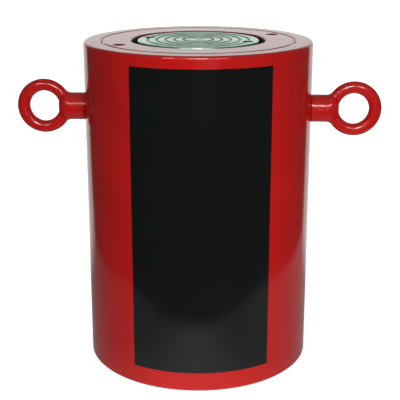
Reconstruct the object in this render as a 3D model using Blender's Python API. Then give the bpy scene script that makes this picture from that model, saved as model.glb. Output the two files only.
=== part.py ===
"""A short, thick, single acting hydraulic cylinder with two lifting eyes.

The cylinder stands on its base at the origin, +Z up, in metres. The lifting eyes lie along X, and
the oil port with its quick coupler is at the back, towards +Y. Every round piece on the main axis
has the same number of facets, with a corner on +X, so that the gaps between them stay even.
"""

import math

import bmesh
import bpy
from mathutils import Matrix, Vector

# Working sizes of the cylinder. The bore leads: the barrel, the stop ring and the rod follow it.
BORE_RADIUS = 0.080
BARREL_WALL = 0.0225
STOP_RING_LEDGE = 0.00625
PISTON_SHOULDER = 0.02285
STROKE = 0.150
BASE_THICKNESS = 0.0494

# Clearances. SEAT_GAP parts two faces that touch, RUNNING_GAP a sliding piece and its bore.
SEAT_GAP = 0.0003
RUNNING_GAP = 0.0003
PISTON_CLEARANCE = 0.0006
GLAND_CLEARANCE = 0.0006
CUT_MARGIN = 0.002
MERGE_DISTANCE = 0.000001

# Edges.
BODY_TOP_ROUND = 0.0020
BODY_BOTTOM_CHAMFER = 0.0020
BORE_CORNER_ROUND = 0.0030
BORE_LEAD = 0.0015
SMALL_CHAMFER = 0.0008

# Stop ring and what it holds, stacked down its bore: opening, wiper, land, bearing band, land.
RING_OPENING_CLEARANCE = 0.00285
RING_BOTTOM_CHAMFER = 0.0015
GLAND_LEAD = 0.0030
WIPER_GROOVE_WIDTH = 0.00605
WIPER_GROOVE_TOP = 0.0095
WIPER_HEIGHT = 0.0062
WIPER_LIP_RISE = 0.0016
WIPER_LAND = 0.0063
GLAND_GUIDE_WIDTH = 0.0120
GLAND_FOOT_LAND = 0.0120
GUIDE_THICKNESS = 0.0025
O_RING_THICKNESS = 0.0028
O_RING_HEIGHT = 0.0030
O_RING_RISE = 0.0090
SPANNER_HOLE_RADIUS = 0.00535
SPANNER_HOLE_INSET = 0.00955
SPANNER_HOLE_DEPTH = 0.0100
SPANNER_HOLE_ANGLE = 30.0

# Piston, stacked up from its face: land, lower band, land, seal, backup ring, land, upper band, land.
PISTON_CHAMFER = 0.0040
PISTON_TOP_CHAMFER = 0.0010
ROD_FILLET = 0.0020
ROD_TOP_CHAMFER = 0.0010
PISTON_FACE_LAND = 0.0070
PISTON_GUIDE_WIDTH = 0.0080
SEAL_LAND = 0.0035
SEAL_WIDTH = 0.0075
SEAL_HEIGHT = 0.0100
SEAL_LIP_DEPTH = 0.0045
BACKUP_HEIGHT = 0.0034
BACKUP_LAND = 0.0048
PISTON_TOP_LAND = 0.0050
RING_SLIT = 0.0025
RING_SLIT_LEAN = 30.0

# Saddle.
SADDLE_STEP = 0.0029
SADDLE_STAND = 0.0060
SADDLE_CHAMFER = 0.0010
SPIGOT_STEP = 0.00225
SPIGOT_LENGTH = 0.0080
FIRST_GROOVE_RADIUS = 0.0134
GROOVE_PITCH = 0.0080
GROOVE_RIM = 0.0080
GROOVE_HALF_WIDTH = 0.0010
GROOVE_DEPTH = 0.0010
SADDLE_SCREW_INSET = 0.00825
SADDLE_SCREW_ANGLE = -15.0
SCREW_HEAD_RADIUS = 0.0043
SCREW_HEAD_HEIGHT = 0.0050
SCREW_HEAD_SUNK = 0.0007
SCREW_SHANK_RADIUS = 0.0025
SCREW_SHANK_LENGTH = 0.0160
SCREW_SOCKET_WALL = 0.0020
SCREW_SOCKET_DEPTH = 0.0025

# Lifting eyes. EYE_STAND is the ring's centre from the spotface that the neck sits on.
EYE_STAND = 0.0397
EYE_BELOW_STOP_RING = 0.0154
EYE_RING_RADIUS = 0.0198
EYE_BAR_RADIUS = 0.0051
EYE_FILLET = 0.0065
EYE_END_PROUD = 0.0010
EYE_END_HALF_HEIGHT = 0.0090
EYE_END_CHEEK = 0.0027
EYE_SHANK_RADIUS = 0.0100
EYE_COLLAR = 0.0017
EYE_SPOTFACE_MARGIN = 0.0015
EYE_SPOTFACE_DEPTH = 0.0010
EYE_SOCKET_FLOOR = 0.0045
EYE_SHANK_END_ROOM = 0.0020
EYE_SHANK_CHAMFER = 0.0015

# Tapped holes in the base.
BASE_HOLE_COUNT = 4
BASE_HOLE_RADIUS = 0.0051
BASE_HOLE_DEPTH = 0.0220
BASE_HOLE_INSET = 0.0275
BASE_HOLE_ANGLE = 45.0
DRILL_POINT_SHARE = 0.6

# Oil port, drillings and vent, all towards +Y.
PORT_BELOW_FLOOR = 0.0174
PORT_SPOTFACE_MARGIN = 0.0017
PORT_SPOTFACE_DEPTH = 0.0025
PORT_END_ROOM = 0.0020
OIL_WAY_RADIUS = 0.0030
OIL_WAY_OVERRUN = 0.0015
OIL_RISER_RADIUS = 0.0025
OIL_RISER_INSET = 0.0140
VENT_RADIUS = 0.0020
VENT_DROP = 0.0060

# Coupler, measured outwards from the port's spotface. The valve chamber leads its round sizes.
CHAMBER_RADIUS = 0.0062
VALVE_SEAT_WIDTH = 0.0018
THROAT_LENGTH = 0.0020
MOUTH_STEP = 0.0051
MOUTH_DEPTH = 0.0160
MOUTH_WALL = 0.00375
MOUTH_SEAL_THICKNESS = 0.0016
MOUTH_SEAL_HEIGHT = 0.0020
MOUTH_SEAL_DEPTH = 0.0090
COUPLER_SHANK_LENGTH = 0.0160
SHANK_WALL = 0.0013
HEX_STEP = 0.00405
HEX_LENGTH = 0.0130
HEX_SIDES = 6
NOSE_LENGTH = 0.0230
NOSE_CHAMFER = 0.0012
NOSE_RELIEF_LENGTH = 0.0025
NOSE_RELIEF_DEPTH = 0.0008
SNAP_GROOVE_DEPTH = 0.0008
SNAP_RING_HEIGHT = 0.0012
SNAP_RING_HEIGHT_FROM_END = 0.0023
SNAP_RING_WIDTH = 0.0016
SNAP_RING_OPENING = 70.0
SPRING_SEAT_THICKNESS = 0.0020
POPPET_CLEARANCE = 0.0004
POPPET_HEAD_LENGTH = 0.0105
POPPET_STEM_LENGTH = 0.0065
POPPET_NOSE_CLEARANCE = 0.0008
POPPET_NOSE_REACH = 0.0080
POPPET_FLUTES = 3
POPPET_FLUTE_RADIUS = 0.0014
SPRING_WIRE_RADIUS = 0.0006
SPRING_SIDE_CLEARANCE = 0.0014
SPRING_TURNS = 4.5

# Dust cap.
CAP_WALL = 0.0026
CAP_END_THICKNESS = 0.0030
CAP_FLUTES = 18
CAP_FLUTE_DEPTH = 0.0006
CAP_EDGE_CHAMFER = 0.0010

# Facets.
MAIN_SEGMENTS = 40
BODY_SEGMENTS = 80
EYE_RING_SEGMENTS = 28
EYE_BAR_SEGMENTS = 10
EYE_NECK_SEGMENTS = 20
FILLET_STEPS = 4
HOLE_SEGMENTS = 12
PORT_SEGMENTS = 20
SPRING_STEPS_PER_TURN = 8
SMOOTH_ANGLE = 32.0

# Radii that follow from the bore, and what sits on them.
BODY_RADIUS = BORE_RADIUS + BARREL_WALL
STOP_RING_RADIUS = BORE_RADIUS + STOP_RING_LEDGE
RECESS_RADIUS = STOP_RING_RADIUS + SEAT_GAP
PISTON_RADIUS = BORE_RADIUS - PISTON_CLEARANCE
ROD_RADIUS = BORE_RADIUS - PISTON_SHOULDER
GLAND_RADIUS = ROD_RADIUS + GLAND_CLEARANCE
STOP_RING_OPENING = ROD_RADIUS + RING_OPENING_CLEARANCE
WIPER_GROOVE_RADIUS = ROD_RADIUS + WIPER_GROOVE_WIDTH
SADDLE_RADIUS = ROD_RADIUS - SADDLE_STEP
SPIGOT_RADIUS = SADDLE_RADIUS - SPIGOT_STEP
GROOVE_COUNT = 1 + int((SADDLE_RADIUS - GROOVE_RIM - FIRST_GROOVE_RADIUS) / GROOVE_PITCH)
SCREW_SOCKET_RADIUS = SCREW_HEAD_RADIUS - SCREW_SOCKET_WALL

# Heights that follow from what is stacked along the axis.
GLAND_GUIDE_DEPTH = WIPER_GROOVE_TOP + WIPER_HEIGHT + WIPER_LAND
STOP_RING_LENGTH = GLAND_GUIDE_DEPTH + GLAND_GUIDE_WIDTH + GLAND_FOOT_LAND
LOWER_GUIDE_HEIGHT = PISTON_FACE_LAND
SEAL_GROOVE_HEIGHT = LOWER_GUIDE_HEIGHT + PISTON_GUIDE_WIDTH + SEAL_LAND
BACKUP_FOOT = SEAL_GROOVE_HEIGHT + SEAL_HEIGHT + SEAT_GAP
UPPER_GUIDE_HEIGHT = BACKUP_FOOT + BACKUP_HEIGHT + BACKUP_LAND
PISTON_LENGTH = UPPER_GUIDE_HEIGHT + PISTON_GUIDE_WIDTH + PISTON_TOP_LAND
PISTON_FACE = BASE_THICKNESS + SEAT_GAP
BODY_HEIGHT = PISTON_FACE + PISTON_LENGTH + STROKE + SEAT_GAP + STOP_RING_LENGTH

# Lifting eyes.
EYE_SEAT = BODY_RADIUS - EYE_SPOTFACE_DEPTH
EYE_REACH = EYE_SEAT + EYE_STAND
EYE_HEIGHT = BODY_HEIGHT - STOP_RING_LENGTH - EYE_BELOW_STOP_RING
EYE_NECK_RADIUS = EYE_SHANK_RADIUS + EYE_COLLAR
EYE_SPOTFACE_RADIUS = EYE_NECK_RADIUS + EYE_SPOTFACE_MARGIN
EYE_SOCKET_DEPTH = EYE_SEAT - BORE_RADIUS - EYE_SOCKET_FLOOR
EYE_SHANK_LENGTH = EYE_SOCKET_DEPTH - EYE_SHANK_END_ROOM
EYE_RING_OUTSIDE = EYE_RING_RADIUS + EYE_BAR_RADIUS
EYE_END_DISTANCE = EYE_RING_RADIUS - EYE_BAR_RADIUS - EYE_END_PROUD
EYE_END_HALF_THICKNESS = EYE_BAR_RADIUS + EYE_END_CHEEK

# Coupler and its port, from the chamber outwards and from the foot to the nose.
THROAT_RADIUS = CHAMBER_RADIUS - VALVE_SEAT_WIDTH
MOUTH_RADIUS = THROAT_RADIUS + MOUTH_STEP
NOSE_RADIUS = MOUTH_RADIUS + MOUTH_WALL
HEX_RADIUS = NOSE_RADIUS + HEX_STEP
PORT_SPOTFACE_RADIUS = HEX_RADIUS + PORT_SPOTFACE_MARGIN
PORT_SHANK_RADIUS = CHAMBER_RADIUS + SNAP_GROOVE_DEPTH + SHANK_WALL
POPPET_NOSE_RADIUS = THROAT_RADIUS - POPPET_NOSE_CLEARANCE
SPRING_COIL_RADIUS = CHAMBER_RADIUS - SPRING_SIDE_CLEARANCE - SPRING_WIRE_RADIUS
POPPET_STEM_RADIUS = SPRING_COIL_RADIUS - SPRING_WIRE_RADIUS - SPRING_SIDE_CLEARANCE
SPRING_SEAT_HOLE_RADIUS = POPPET_STEM_RADIUS + RUNNING_GAP
COUPLER_FOOT = SEAT_GAP
NOSE_FOOT = COUPLER_FOOT + HEX_LENGTH
NOSE_END = NOSE_FOOT + NOSE_LENGTH
CHAMBER_TOP = NOSE_END - MOUTH_DEPTH - THROAT_LENGTH - VALVE_SEAT_WIDTH
PORT_HEIGHT = BASE_THICKNESS - PORT_BELOW_FLOOR
PORT_DEPTH = COUPLER_SHANK_LENGTH + PORT_END_ROOM
SPOTFACE_PLANE = BODY_RADIUS - PORT_SPOTFACE_DEPTH
ALONG_Y = Matrix.Rotation(math.radians(-90.0), 4, "X")


def finish(name, colour, roughness, metallic):
    """A Principled material with one colour."""
    material = bpy.data.materials.new(name)
    material.use_nodes = True
    shader = material.node_tree.nodes["Principled BSDF"]
    shader.inputs["Base Color"].default_value = (*colour, 1.0)
    shader.inputs["Roughness"].default_value = roughness
    shader.inputs["Metallic"].default_value = metallic
    material.diffuse_color = (*colour, 1.0)
    return material


def empty(name, place, turn=None):
    """An empty on a joint's axis or on a seat, which carries the pieces that belong there."""
    carrier = bpy.data.objects.new(name, None)
    carrier.matrix_world = Matrix.Translation(place) @ (turn or Matrix.Identity(4))
    bpy.context.scene.collection.objects.link(carrier)
    return carrier


def solid(name, bm, material, parent=None):
    """An object from a closed shape, with its faces outwards, shaded smooth and sharp at real edges."""
    bmesh.ops.recalc_face_normals(bm, faces=bm.faces[:])
    if bm.calc_volume(signed=True) < 0.0:
        bmesh.ops.reverse_faces(bm, faces=bm.faces[:])
    mesh = bpy.data.meshes.new(name)
    bm.to_mesh(mesh)
    bm.free()
    if material:
        mesh.materials.append(material)
    mesh.shade_smooth()
    mesh.set_sharp_from_angle(angle=math.radians(SMOOTH_ANGLE))
    piece = bpy.data.objects.new(name, mesh)
    bpy.context.scene.collection.objects.link(piece)
    piece.parent = parent
    return piece


def turned(name, profile, material=None, parent=None, segments=MAIN_SEGMENTS, closed=False):
    """A piece turned about its Z axis from (radius, height) points.

    An open profile starts and ends on the axis, and a closed one is the section of a ring.
    """
    bm = bmesh.new()
    points = [bm.verts.new((radius, 0.0, height)) for radius, height in profile]
    pairs = list(zip(points, points[1:]))
    if closed:
        pairs.append((points[-1], points[0]))
    edges = [bm.edges.new(pair) for pair in pairs]
    bmesh.ops.spin(
        bm,
        geom=points + edges,
        axis=(0.0, 0.0, 1.0),
        cent=(0.0, 0.0, 0.0),
        angle=math.tau,
        steps=segments,
        use_duplicate=False,
    )
    bmesh.ops.remove_doubles(bm, verts=bm.verts[:], dist=MERGE_DISTANCE)
    return solid(name, bm, material, parent)


def bar(name, radius, low, high, segments, parent=None):
    """A plain round bar along Z, used as a cutter."""
    return turned(name, [(0.0, low), (radius, low), (radius, high), (0.0, high)], None, parent, segments)


def drill_bit(name, radius, low, high, segments):
    """A cutter along Z with a drill's point at its top."""
    tip = high + radius * DRILL_POINT_SHARE
    return turned(name, [(0.0, low), (radius, low), (radius, high), (0.0, tip)], None, None, segments)


def combine(target, tool, operation="DIFFERENCE"):
    """Cuts the tool out of the target, or joins it on, and leaves the tool as a wire guide."""
    tool.hide_render = True
    tool.display_type = "WIRE"
    step = target.modifiers.new(tool.name, "BOOLEAN")
    step.operation = operation
    step.solver = "EXACT"
    step.object = tool


def corner_arc(centre, radius, start, end, steps=FILLET_STEPS):
    """Points of an arc in a turned profile, from one angle to another in degrees."""
    angles = [math.radians(start + (end - start) * step / steps) for step in range(steps + 1)]
    return [(centre[0] + radius * math.cos(a), centre[1] + radius * math.sin(a)) for a in angles]


def half_facet(segments):
    """Half a facet's turn about Z, which keeps a cutter's corners off the edges that it crosses."""
    return Matrix.Rotation(math.pi / segments, 4, "Z")


def on_circle(radius, degrees, height=0.0):
    """A point at an angle round the main axis."""
    angle = math.radians(degrees)
    return Vector((radius * math.cos(angle), radius * math.sin(angle), height))


def ring_section(inner, outer, low, high):
    """A rectangular section of a ring."""
    return [(inner, low), (outer, low), (outer, high), (inner, high)]


def o_ring_section(inner, outer, low, high, sides=6):
    """The section of a round rubber ring, as wide and high as its groove leaves it."""
    middle = Vector(((inner + outer) / 2.0, (low + high) / 2.0))
    half = Vector(((outer - inner) / 2.0, (high - low) / 2.0))
    angles = [math.tau * (side + 0.5) / sides for side in range(sides)]
    reach = math.cos(math.pi / sides)
    return [(middle.x + half.x * math.cos(a) / reach, middle.y + half.y * math.sin(a)) for a in angles]


def groove(wall, floor, low, high):
    """Profile points of a groove in a turned wall, from its low edge to its high edge."""
    return [(wall, low), (floor, low), (floor, high), (wall, high)]


def outline_prism(name, outline, low, high):
    """A prism along Z from a flat outline of (x, y) points."""
    bm = bmesh.new()
    base = bm.faces.new([bm.verts.new((x, y, low)) for x, y in outline])
    grown = bmesh.ops.extrude_face_region(bm, geom=[base])
    lifted = [item for item in grown["geom"] if isinstance(item, bmesh.types.BMVert)]
    bmesh.ops.translate(bm, verts=lifted, vec=(0.0, 0.0, high - low))
    return solid(name, bm, None)


def slit(ring, name, radius, low, high):
    """Cuts a leaning slit through a bearing or backup ring, as a split ring has."""
    half = RING_SLIT / 2.0
    reach = GUIDE_THICKNESS * 4.0
    outline = [(radius - reach, -half), (radius + reach, -half), (radius + reach, half), (radius - reach, half)]
    margin = (high - low) * 1.5
    cutter = outline_prism(name, outline, -margin, margin)
    lean = Matrix.Rotation(math.radians(RING_SLIT_LEAN), 4, "X")
    cutter.parent = ring.parent
    cutter.matrix_local = Matrix.Translation((0.0, 0.0, (low + high) / 2.0)) @ lean
    combine(ring, cutter)


def make_body(paint):
    """The barrel and its base in one, bored and drilled."""
    top = BODY_HEIGHT
    round_centre = (BODY_RADIUS - BODY_TOP_ROUND, top - BODY_TOP_ROUND)
    profile = [
        (0.0, 0.0),
        (BODY_RADIUS - BODY_BOTTOM_CHAMFER, 0.0),
        (BODY_RADIUS, BODY_BOTTOM_CHAMFER),
        *corner_arc(round_centre, BODY_TOP_ROUND, 0.0, 90.0, 3),
        (0.0, top),
    ]
    body = turned("cylinder_body", profile, paint, None, BODY_SEGMENTS)

    shoulder = top - STOP_RING_LENGTH - SEAT_GAP
    corner = (BORE_RADIUS - BORE_CORNER_ROUND, BASE_THICKNESS + BORE_CORNER_ROUND)
    bore = [
        (0.0, BASE_THICKNESS),
        *corner_arc(corner, BORE_CORNER_ROUND, -90.0, 0.0, 2),
        (BORE_RADIUS, shoulder - BORE_LEAD),
        (BORE_RADIUS + BORE_LEAD, shoulder),
        (RECESS_RADIUS, shoulder),
        (RECESS_RADIUS, top - SMALL_CHAMFER),
        (RECESS_RADIUS + SMALL_CHAMFER + CUT_MARGIN, top + CUT_MARGIN),
        (0.0, top + CUT_MARGIN),
    ]
    combine(body, turned("bore_cut", bore))

    socket_profile = [
        (0.0, EYE_SEAT - EYE_SOCKET_DEPTH),
        (EYE_SHANK_RADIUS + SEAT_GAP, EYE_SEAT - EYE_SOCKET_DEPTH),
        (EYE_SHANK_RADIUS + SEAT_GAP, EYE_SEAT),
        (EYE_SPOTFACE_RADIUS, EYE_SEAT),
        (EYE_SPOTFACE_RADIUS, BODY_RADIUS + CUT_MARGIN),
        (0.0, BODY_RADIUS + CUT_MARGIN),
    ]
    for side, name in ((-1.0, "left"), (1.0, "right")):
        socket = turned(f"{name}_eye_socket_cut", socket_profile, None, None, EYE_NECK_SEGMENTS)
        aim = Matrix.Rotation(math.radians(90.0 * side), 4, "Y")
        socket.matrix_world = Matrix.Translation((0.0, 0.0, EYE_HEIGHT)) @ aim @ half_facet(EYE_NECK_SEGMENTS)
        combine(body, socket)

    for index in range(BASE_HOLE_COUNT):
        angle = BASE_HOLE_ANGLE + index * 360.0 / BASE_HOLE_COUNT
        hole = drill_bit(f"base_hole_cut_{index}", BASE_HOLE_RADIUS, -CUT_MARGIN, BASE_HOLE_DEPTH, HOLE_SEGMENTS)
        hole.location = on_circle(BODY_RADIUS - BASE_HOLE_INSET, angle)
        combine(body, hole)

    outside = BODY_RADIUS + CUT_MARGIN
    riser_place = BORE_RADIUS - OIL_RISER_INSET
    port_profile = [
        (0.0, riser_place - OIL_WAY_RADIUS - OIL_WAY_OVERRUN),
        (OIL_WAY_RADIUS, riser_place - OIL_WAY_RADIUS),
        (OIL_WAY_RADIUS, SPOTFACE_PLANE - PORT_DEPTH),
        (PORT_SHANK_RADIUS + SEAT_GAP, SPOTFACE_PLANE - PORT_DEPTH),
        (PORT_SHANK_RADIUS + SEAT_GAP, SPOTFACE_PLANE),
        (PORT_SPOTFACE_RADIUS, SPOTFACE_PLANE),
        (PORT_SPOTFACE_RADIUS, outside),
        (0.0, outside),
    ]
    port = turned("oil_port_cut", port_profile, None, None, PORT_SEGMENTS)
    port.matrix_world = Matrix.Translation((0.0, 0.0, PORT_HEIGHT)) @ ALONG_Y @ half_facet(PORT_SEGMENTS)
    combine(body, port)
    riser = bar("oil_riser_cut", OIL_RISER_RADIUS, PORT_HEIGHT, BASE_THICKNESS + CUT_MARGIN, HOLE_SEGMENTS)
    riser.matrix_world = Matrix.Translation((0.0, riser_place, 0.0)) @ half_facet(HOLE_SEGMENTS)
    combine(body, riser)
    vent = bar("vent_cut", VENT_RADIUS, BORE_RADIUS - CUT_MARGIN, outside, HOLE_SEGMENTS)
    vent_place = Matrix.Translation((0.0, 0.0, shoulder - VENT_DROP))
    vent.matrix_world = vent_place @ ALONG_Y @ half_facet(HOLE_SEGMENTS)
    combine(body, vent)


def make_stop_ring(paint, bronze, rubber, black_rubber):
    """The screwed ring in the mouth, with the wiper, the bearing band and the seal that it holds."""
    seat = empty("stop_ring_seat", (0.0, 0.0, BODY_HEIGHT))
    bottom = -STOP_RING_LENGTH
    o_ring_floor = STOP_RING_RADIUS - O_RING_THICKNESS - SEAT_GAP
    o_ring_low = bottom + O_RING_RISE
    o_ring_top = o_ring_low + O_RING_HEIGHT
    guide_floor = ROD_RADIUS + RUNNING_GAP + GUIDE_THICKNESS + SEAT_GAP
    guide_low = -GLAND_GUIDE_DEPTH - GLAND_GUIDE_WIDTH
    wiper_low = -WIPER_GROOVE_TOP - WIPER_HEIGHT
    profile = [
        (STOP_RING_OPENING + SMALL_CHAMFER, 0.0),
        (STOP_RING_OPENING, -SMALL_CHAMFER),
        (STOP_RING_OPENING, -WIPER_GROOVE_TOP + SEAT_GAP),
        (WIPER_GROOVE_RADIUS, -WIPER_GROOVE_TOP + SEAT_GAP),
        (WIPER_GROOVE_RADIUS, wiper_low - SEAT_GAP),
        (GLAND_RADIUS, wiper_low - SEAT_GAP),
        *reversed(groove(GLAND_RADIUS, guide_floor, guide_low - SEAT_GAP, -GLAND_GUIDE_DEPTH + SEAT_GAP)),
        (GLAND_RADIUS, bottom + GLAND_LEAD),
        (GLAND_RADIUS + GLAND_LEAD, bottom),
        (STOP_RING_RADIUS - RING_BOTTOM_CHAMFER, bottom),
        (STOP_RING_RADIUS, bottom + RING_BOTTOM_CHAMFER),
        *groove(STOP_RING_RADIUS, o_ring_floor, o_ring_low - SEAT_GAP, o_ring_top + SEAT_GAP),
        (STOP_RING_RADIUS, -SMALL_CHAMFER),
        (STOP_RING_RADIUS - SMALL_CHAMFER, 0.0),
    ]
    ring = turned("stop_ring", profile, paint, seat, closed=True)
    for index in range(2):
        hole = bar(
            f"spanner_hole_cut_{index}", SPANNER_HOLE_RADIUS, -SPANNER_HOLE_DEPTH, CUT_MARGIN, HOLE_SEGMENTS, seat
        )
        hole.location = on_circle(STOP_RING_RADIUS - SPANNER_HOLE_INSET, SPANNER_HOLE_ANGLE + 180.0 * index)
        combine(ring, hole)

    o_ring = o_ring_section(o_ring_floor + SEAT_GAP, STOP_RING_RADIUS, o_ring_low, o_ring_top)
    turned("stop_ring_o_ring", o_ring, rubber, seat, closed=True)

    lip = ROD_RADIUS + RUNNING_GAP
    outside = WIPER_GROOVE_RADIUS - SEAT_GAP
    shoulder = STOP_RING_OPENING - SEAT_GAP
    wiper = [
        (GLAND_RADIUS + SEAT_GAP, wiper_low),
        (outside, wiper_low),
        (outside, -WIPER_GROOVE_TOP),
        (shoulder, -WIPER_GROOVE_TOP),
        (shoulder - SEAT_GAP, -WIPER_GROOVE_TOP + WIPER_LIP_RISE / 2.0),
        (lip, -WIPER_GROOVE_TOP + WIPER_LIP_RISE),
    ]
    turned("rod_wiper", wiper, black_rubber, seat, closed=True)

    inner = ROD_RADIUS + RUNNING_GAP
    outer = inner + GUIDE_THICKNESS
    section = ring_section(inner, outer, guide_low, -GLAND_GUIDE_DEPTH)
    guide = turned("gland_guide_ring", section, bronze, seat, closed=True)
    slit(guide, "gland_guide_slit_cut", (inner + outer) / 2.0, guide_low, -GLAND_GUIDE_DEPTH)


def make_plunger(chrome, bronze, rubber, nylon):
    """Rod and piston in one, with the piston's bands and seal. Its empty is on the slide's axis."""
    axis = empty("plunger_axis", (0.0, 0.0, PISTON_FACE))
    length = BODY_HEIGHT - SADDLE_STAND - SEAT_GAP - PISTON_FACE
    band_floor = BORE_RADIUS - RUNNING_GAP - GUIDE_THICKNESS - SEAT_GAP
    seal_floor = BORE_RADIUS - RUNNING_GAP - SEAL_WIDTH - SEAT_GAP
    seal_top = SEAL_GROOVE_HEIGHT + SEAL_HEIGHT
    backup_top = BACKUP_FOOT + BACKUP_HEIGHT
    band_tops = [low + PISTON_GUIDE_WIDTH for low in (LOWER_GUIDE_HEIGHT, UPPER_GUIDE_HEIGHT)]
    recess = SPIGOT_RADIUS + SEAT_GAP
    recess_floor = length - SPIGOT_LENGTH - SEAT_GAP
    profile = [
        (0.0, 0.0),
        (PISTON_RADIUS - PISTON_CHAMFER, 0.0),
        (PISTON_RADIUS, PISTON_CHAMFER),
        *groove(PISTON_RADIUS, band_floor, LOWER_GUIDE_HEIGHT - SEAT_GAP, band_tops[0] + SEAT_GAP),
        *groove(PISTON_RADIUS, seal_floor, SEAL_GROOVE_HEIGHT - SEAT_GAP, backup_top + SEAT_GAP),
        *groove(PISTON_RADIUS, band_floor, UPPER_GUIDE_HEIGHT - SEAT_GAP, band_tops[1] + SEAT_GAP),
        (PISTON_RADIUS, PISTON_LENGTH - PISTON_TOP_CHAMFER),
        (PISTON_RADIUS - PISTON_TOP_CHAMFER, PISTON_LENGTH),
        (ROD_RADIUS + ROD_FILLET, PISTON_LENGTH),
        (ROD_RADIUS, PISTON_LENGTH + ROD_FILLET),
        (ROD_RADIUS, length - ROD_TOP_CHAMFER),
        (ROD_RADIUS - ROD_TOP_CHAMFER, length),
        (recess, length),
        (recess, recess_floor),
        (0.0, recess_floor),
    ]
    plunger = turned("plunger", profile, chrome, axis)

    bands = (
        ("piston_guide_ring_lower", LOWER_GUIDE_HEIGHT, band_tops[0]),
        ("piston_guide_ring_upper", UPPER_GUIDE_HEIGHT, band_tops[1]),
    )
    outer = BORE_RADIUS - RUNNING_GAP
    for name, low, high in bands:
        band = turned(name, ring_section(outer - GUIDE_THICKNESS, outer, low, high), bronze, axis, closed=True)
        slit(band, name + "_slit_cut", outer - GUIDE_THICKNESS / 2.0, low, high)

    inner = outer - SEAL_WIDTH
    middle = (inner + outer) / 2.0
    cup = [
        (inner, SEAL_GROOVE_HEIGHT),
        (inner + SEAL_WIDTH / 4.0, SEAL_GROOVE_HEIGHT),
        (middle, SEAL_GROOVE_HEIGHT + SEAL_LIP_DEPTH),
        (outer - SEAL_WIDTH / 4.0, SEAL_GROOVE_HEIGHT),
        (outer, SEAL_GROOVE_HEIGHT),
        (outer, seal_top),
        (inner, seal_top),
    ]
    turned("piston_seal", cup, rubber, axis, closed=True)
    section = ring_section(inner, outer, BACKUP_FOOT, backup_top)
    backup = turned("seal_backup_ring", section, nylon, axis, closed=True)
    slit(backup, "backup_slit_cut", middle, BACKUP_FOOT, backup_top)
    return axis, plunger


def make_saddle(steel, screw_steel, axis, plunger):
    """The grooved load pad, let into the plunger's end and held by two sunk cap screws."""
    top = BODY_HEIGHT - PISTON_FACE
    rings = []
    for index in range(GROOVE_COUNT):
        radius = FIRST_GROOVE_RADIUS + index * GROOVE_PITCH
        rings += [
            (radius - GROOVE_HALF_WIDTH, top),
            (radius, top - GROOVE_DEPTH),
            (radius + GROOVE_HALF_WIDTH, top),
        ]
    foot = top - SADDLE_STAND - SPIGOT_LENGTH
    profile = [
        (0.0, foot),
        (SPIGOT_RADIUS - SMALL_CHAMFER, foot),
        (SPIGOT_RADIUS, foot + SMALL_CHAMFER),
        (SPIGOT_RADIUS, top - SADDLE_STAND),
        (SADDLE_RADIUS, top - SADDLE_STAND),
        (SADDLE_RADIUS, top - SADDLE_CHAMFER),
        (SADDLE_RADIUS - SADDLE_CHAMFER, top),
        *reversed(rings),
        (0.0, top),
    ]
    saddle = turned("saddle", profile, steel, axis)

    head_top = top - SCREW_HEAD_SUNK
    head_foot = head_top - SCREW_HEAD_HEIGHT
    tip = head_foot - SCREW_SHANK_LENGTH
    hole = SCREW_SHANK_RADIUS + SEAT_GAP
    sinking = SCREW_HEAD_RADIUS + SEAT_GAP
    hole_profile = [
        (0.0, tip - CUT_MARGIN),
        (hole, tip - CUT_MARGIN),
        (hole, head_foot - SEAT_GAP),
        (sinking, head_foot - SEAT_GAP),
        (sinking, top + CUT_MARGIN),
        (0.0, top + CUT_MARGIN),
    ]
    screw_profile = [
        (0.0, tip),
        (SCREW_SHANK_RADIUS - SMALL_CHAMFER, tip),
        (SCREW_SHANK_RADIUS, tip + SMALL_CHAMFER),
        (SCREW_SHANK_RADIUS, head_foot),
        (SCREW_HEAD_RADIUS, head_foot),
        (SCREW_HEAD_RADIUS, head_top),
        (0.0, head_top),
    ]
    for index, name in enumerate(("right", "left")):
        place = on_circle(SADDLE_RADIUS - SADDLE_SCREW_INSET, SADDLE_SCREW_ANGLE + 180.0 * index)
        hole_cut = turned(f"{name}_screw_hole_cut", hole_profile, None, axis, HOLE_SEGMENTS)
        hole_cut.location = place
        combine(saddle, hole_cut)
        combine(plunger, hole_cut)
        screw = turned(f"saddle_screw_{name}", screw_profile, screw_steel, axis, HOLE_SEGMENTS)
        screw.location = place
        socket = bar(
            f"{name}_screw_socket_cut", SCREW_SOCKET_RADIUS, head_top - SCREW_SOCKET_DEPTH, top, HEX_SIDES, axis
        )
        socket.location = place
        combine(screw, socket)


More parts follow.
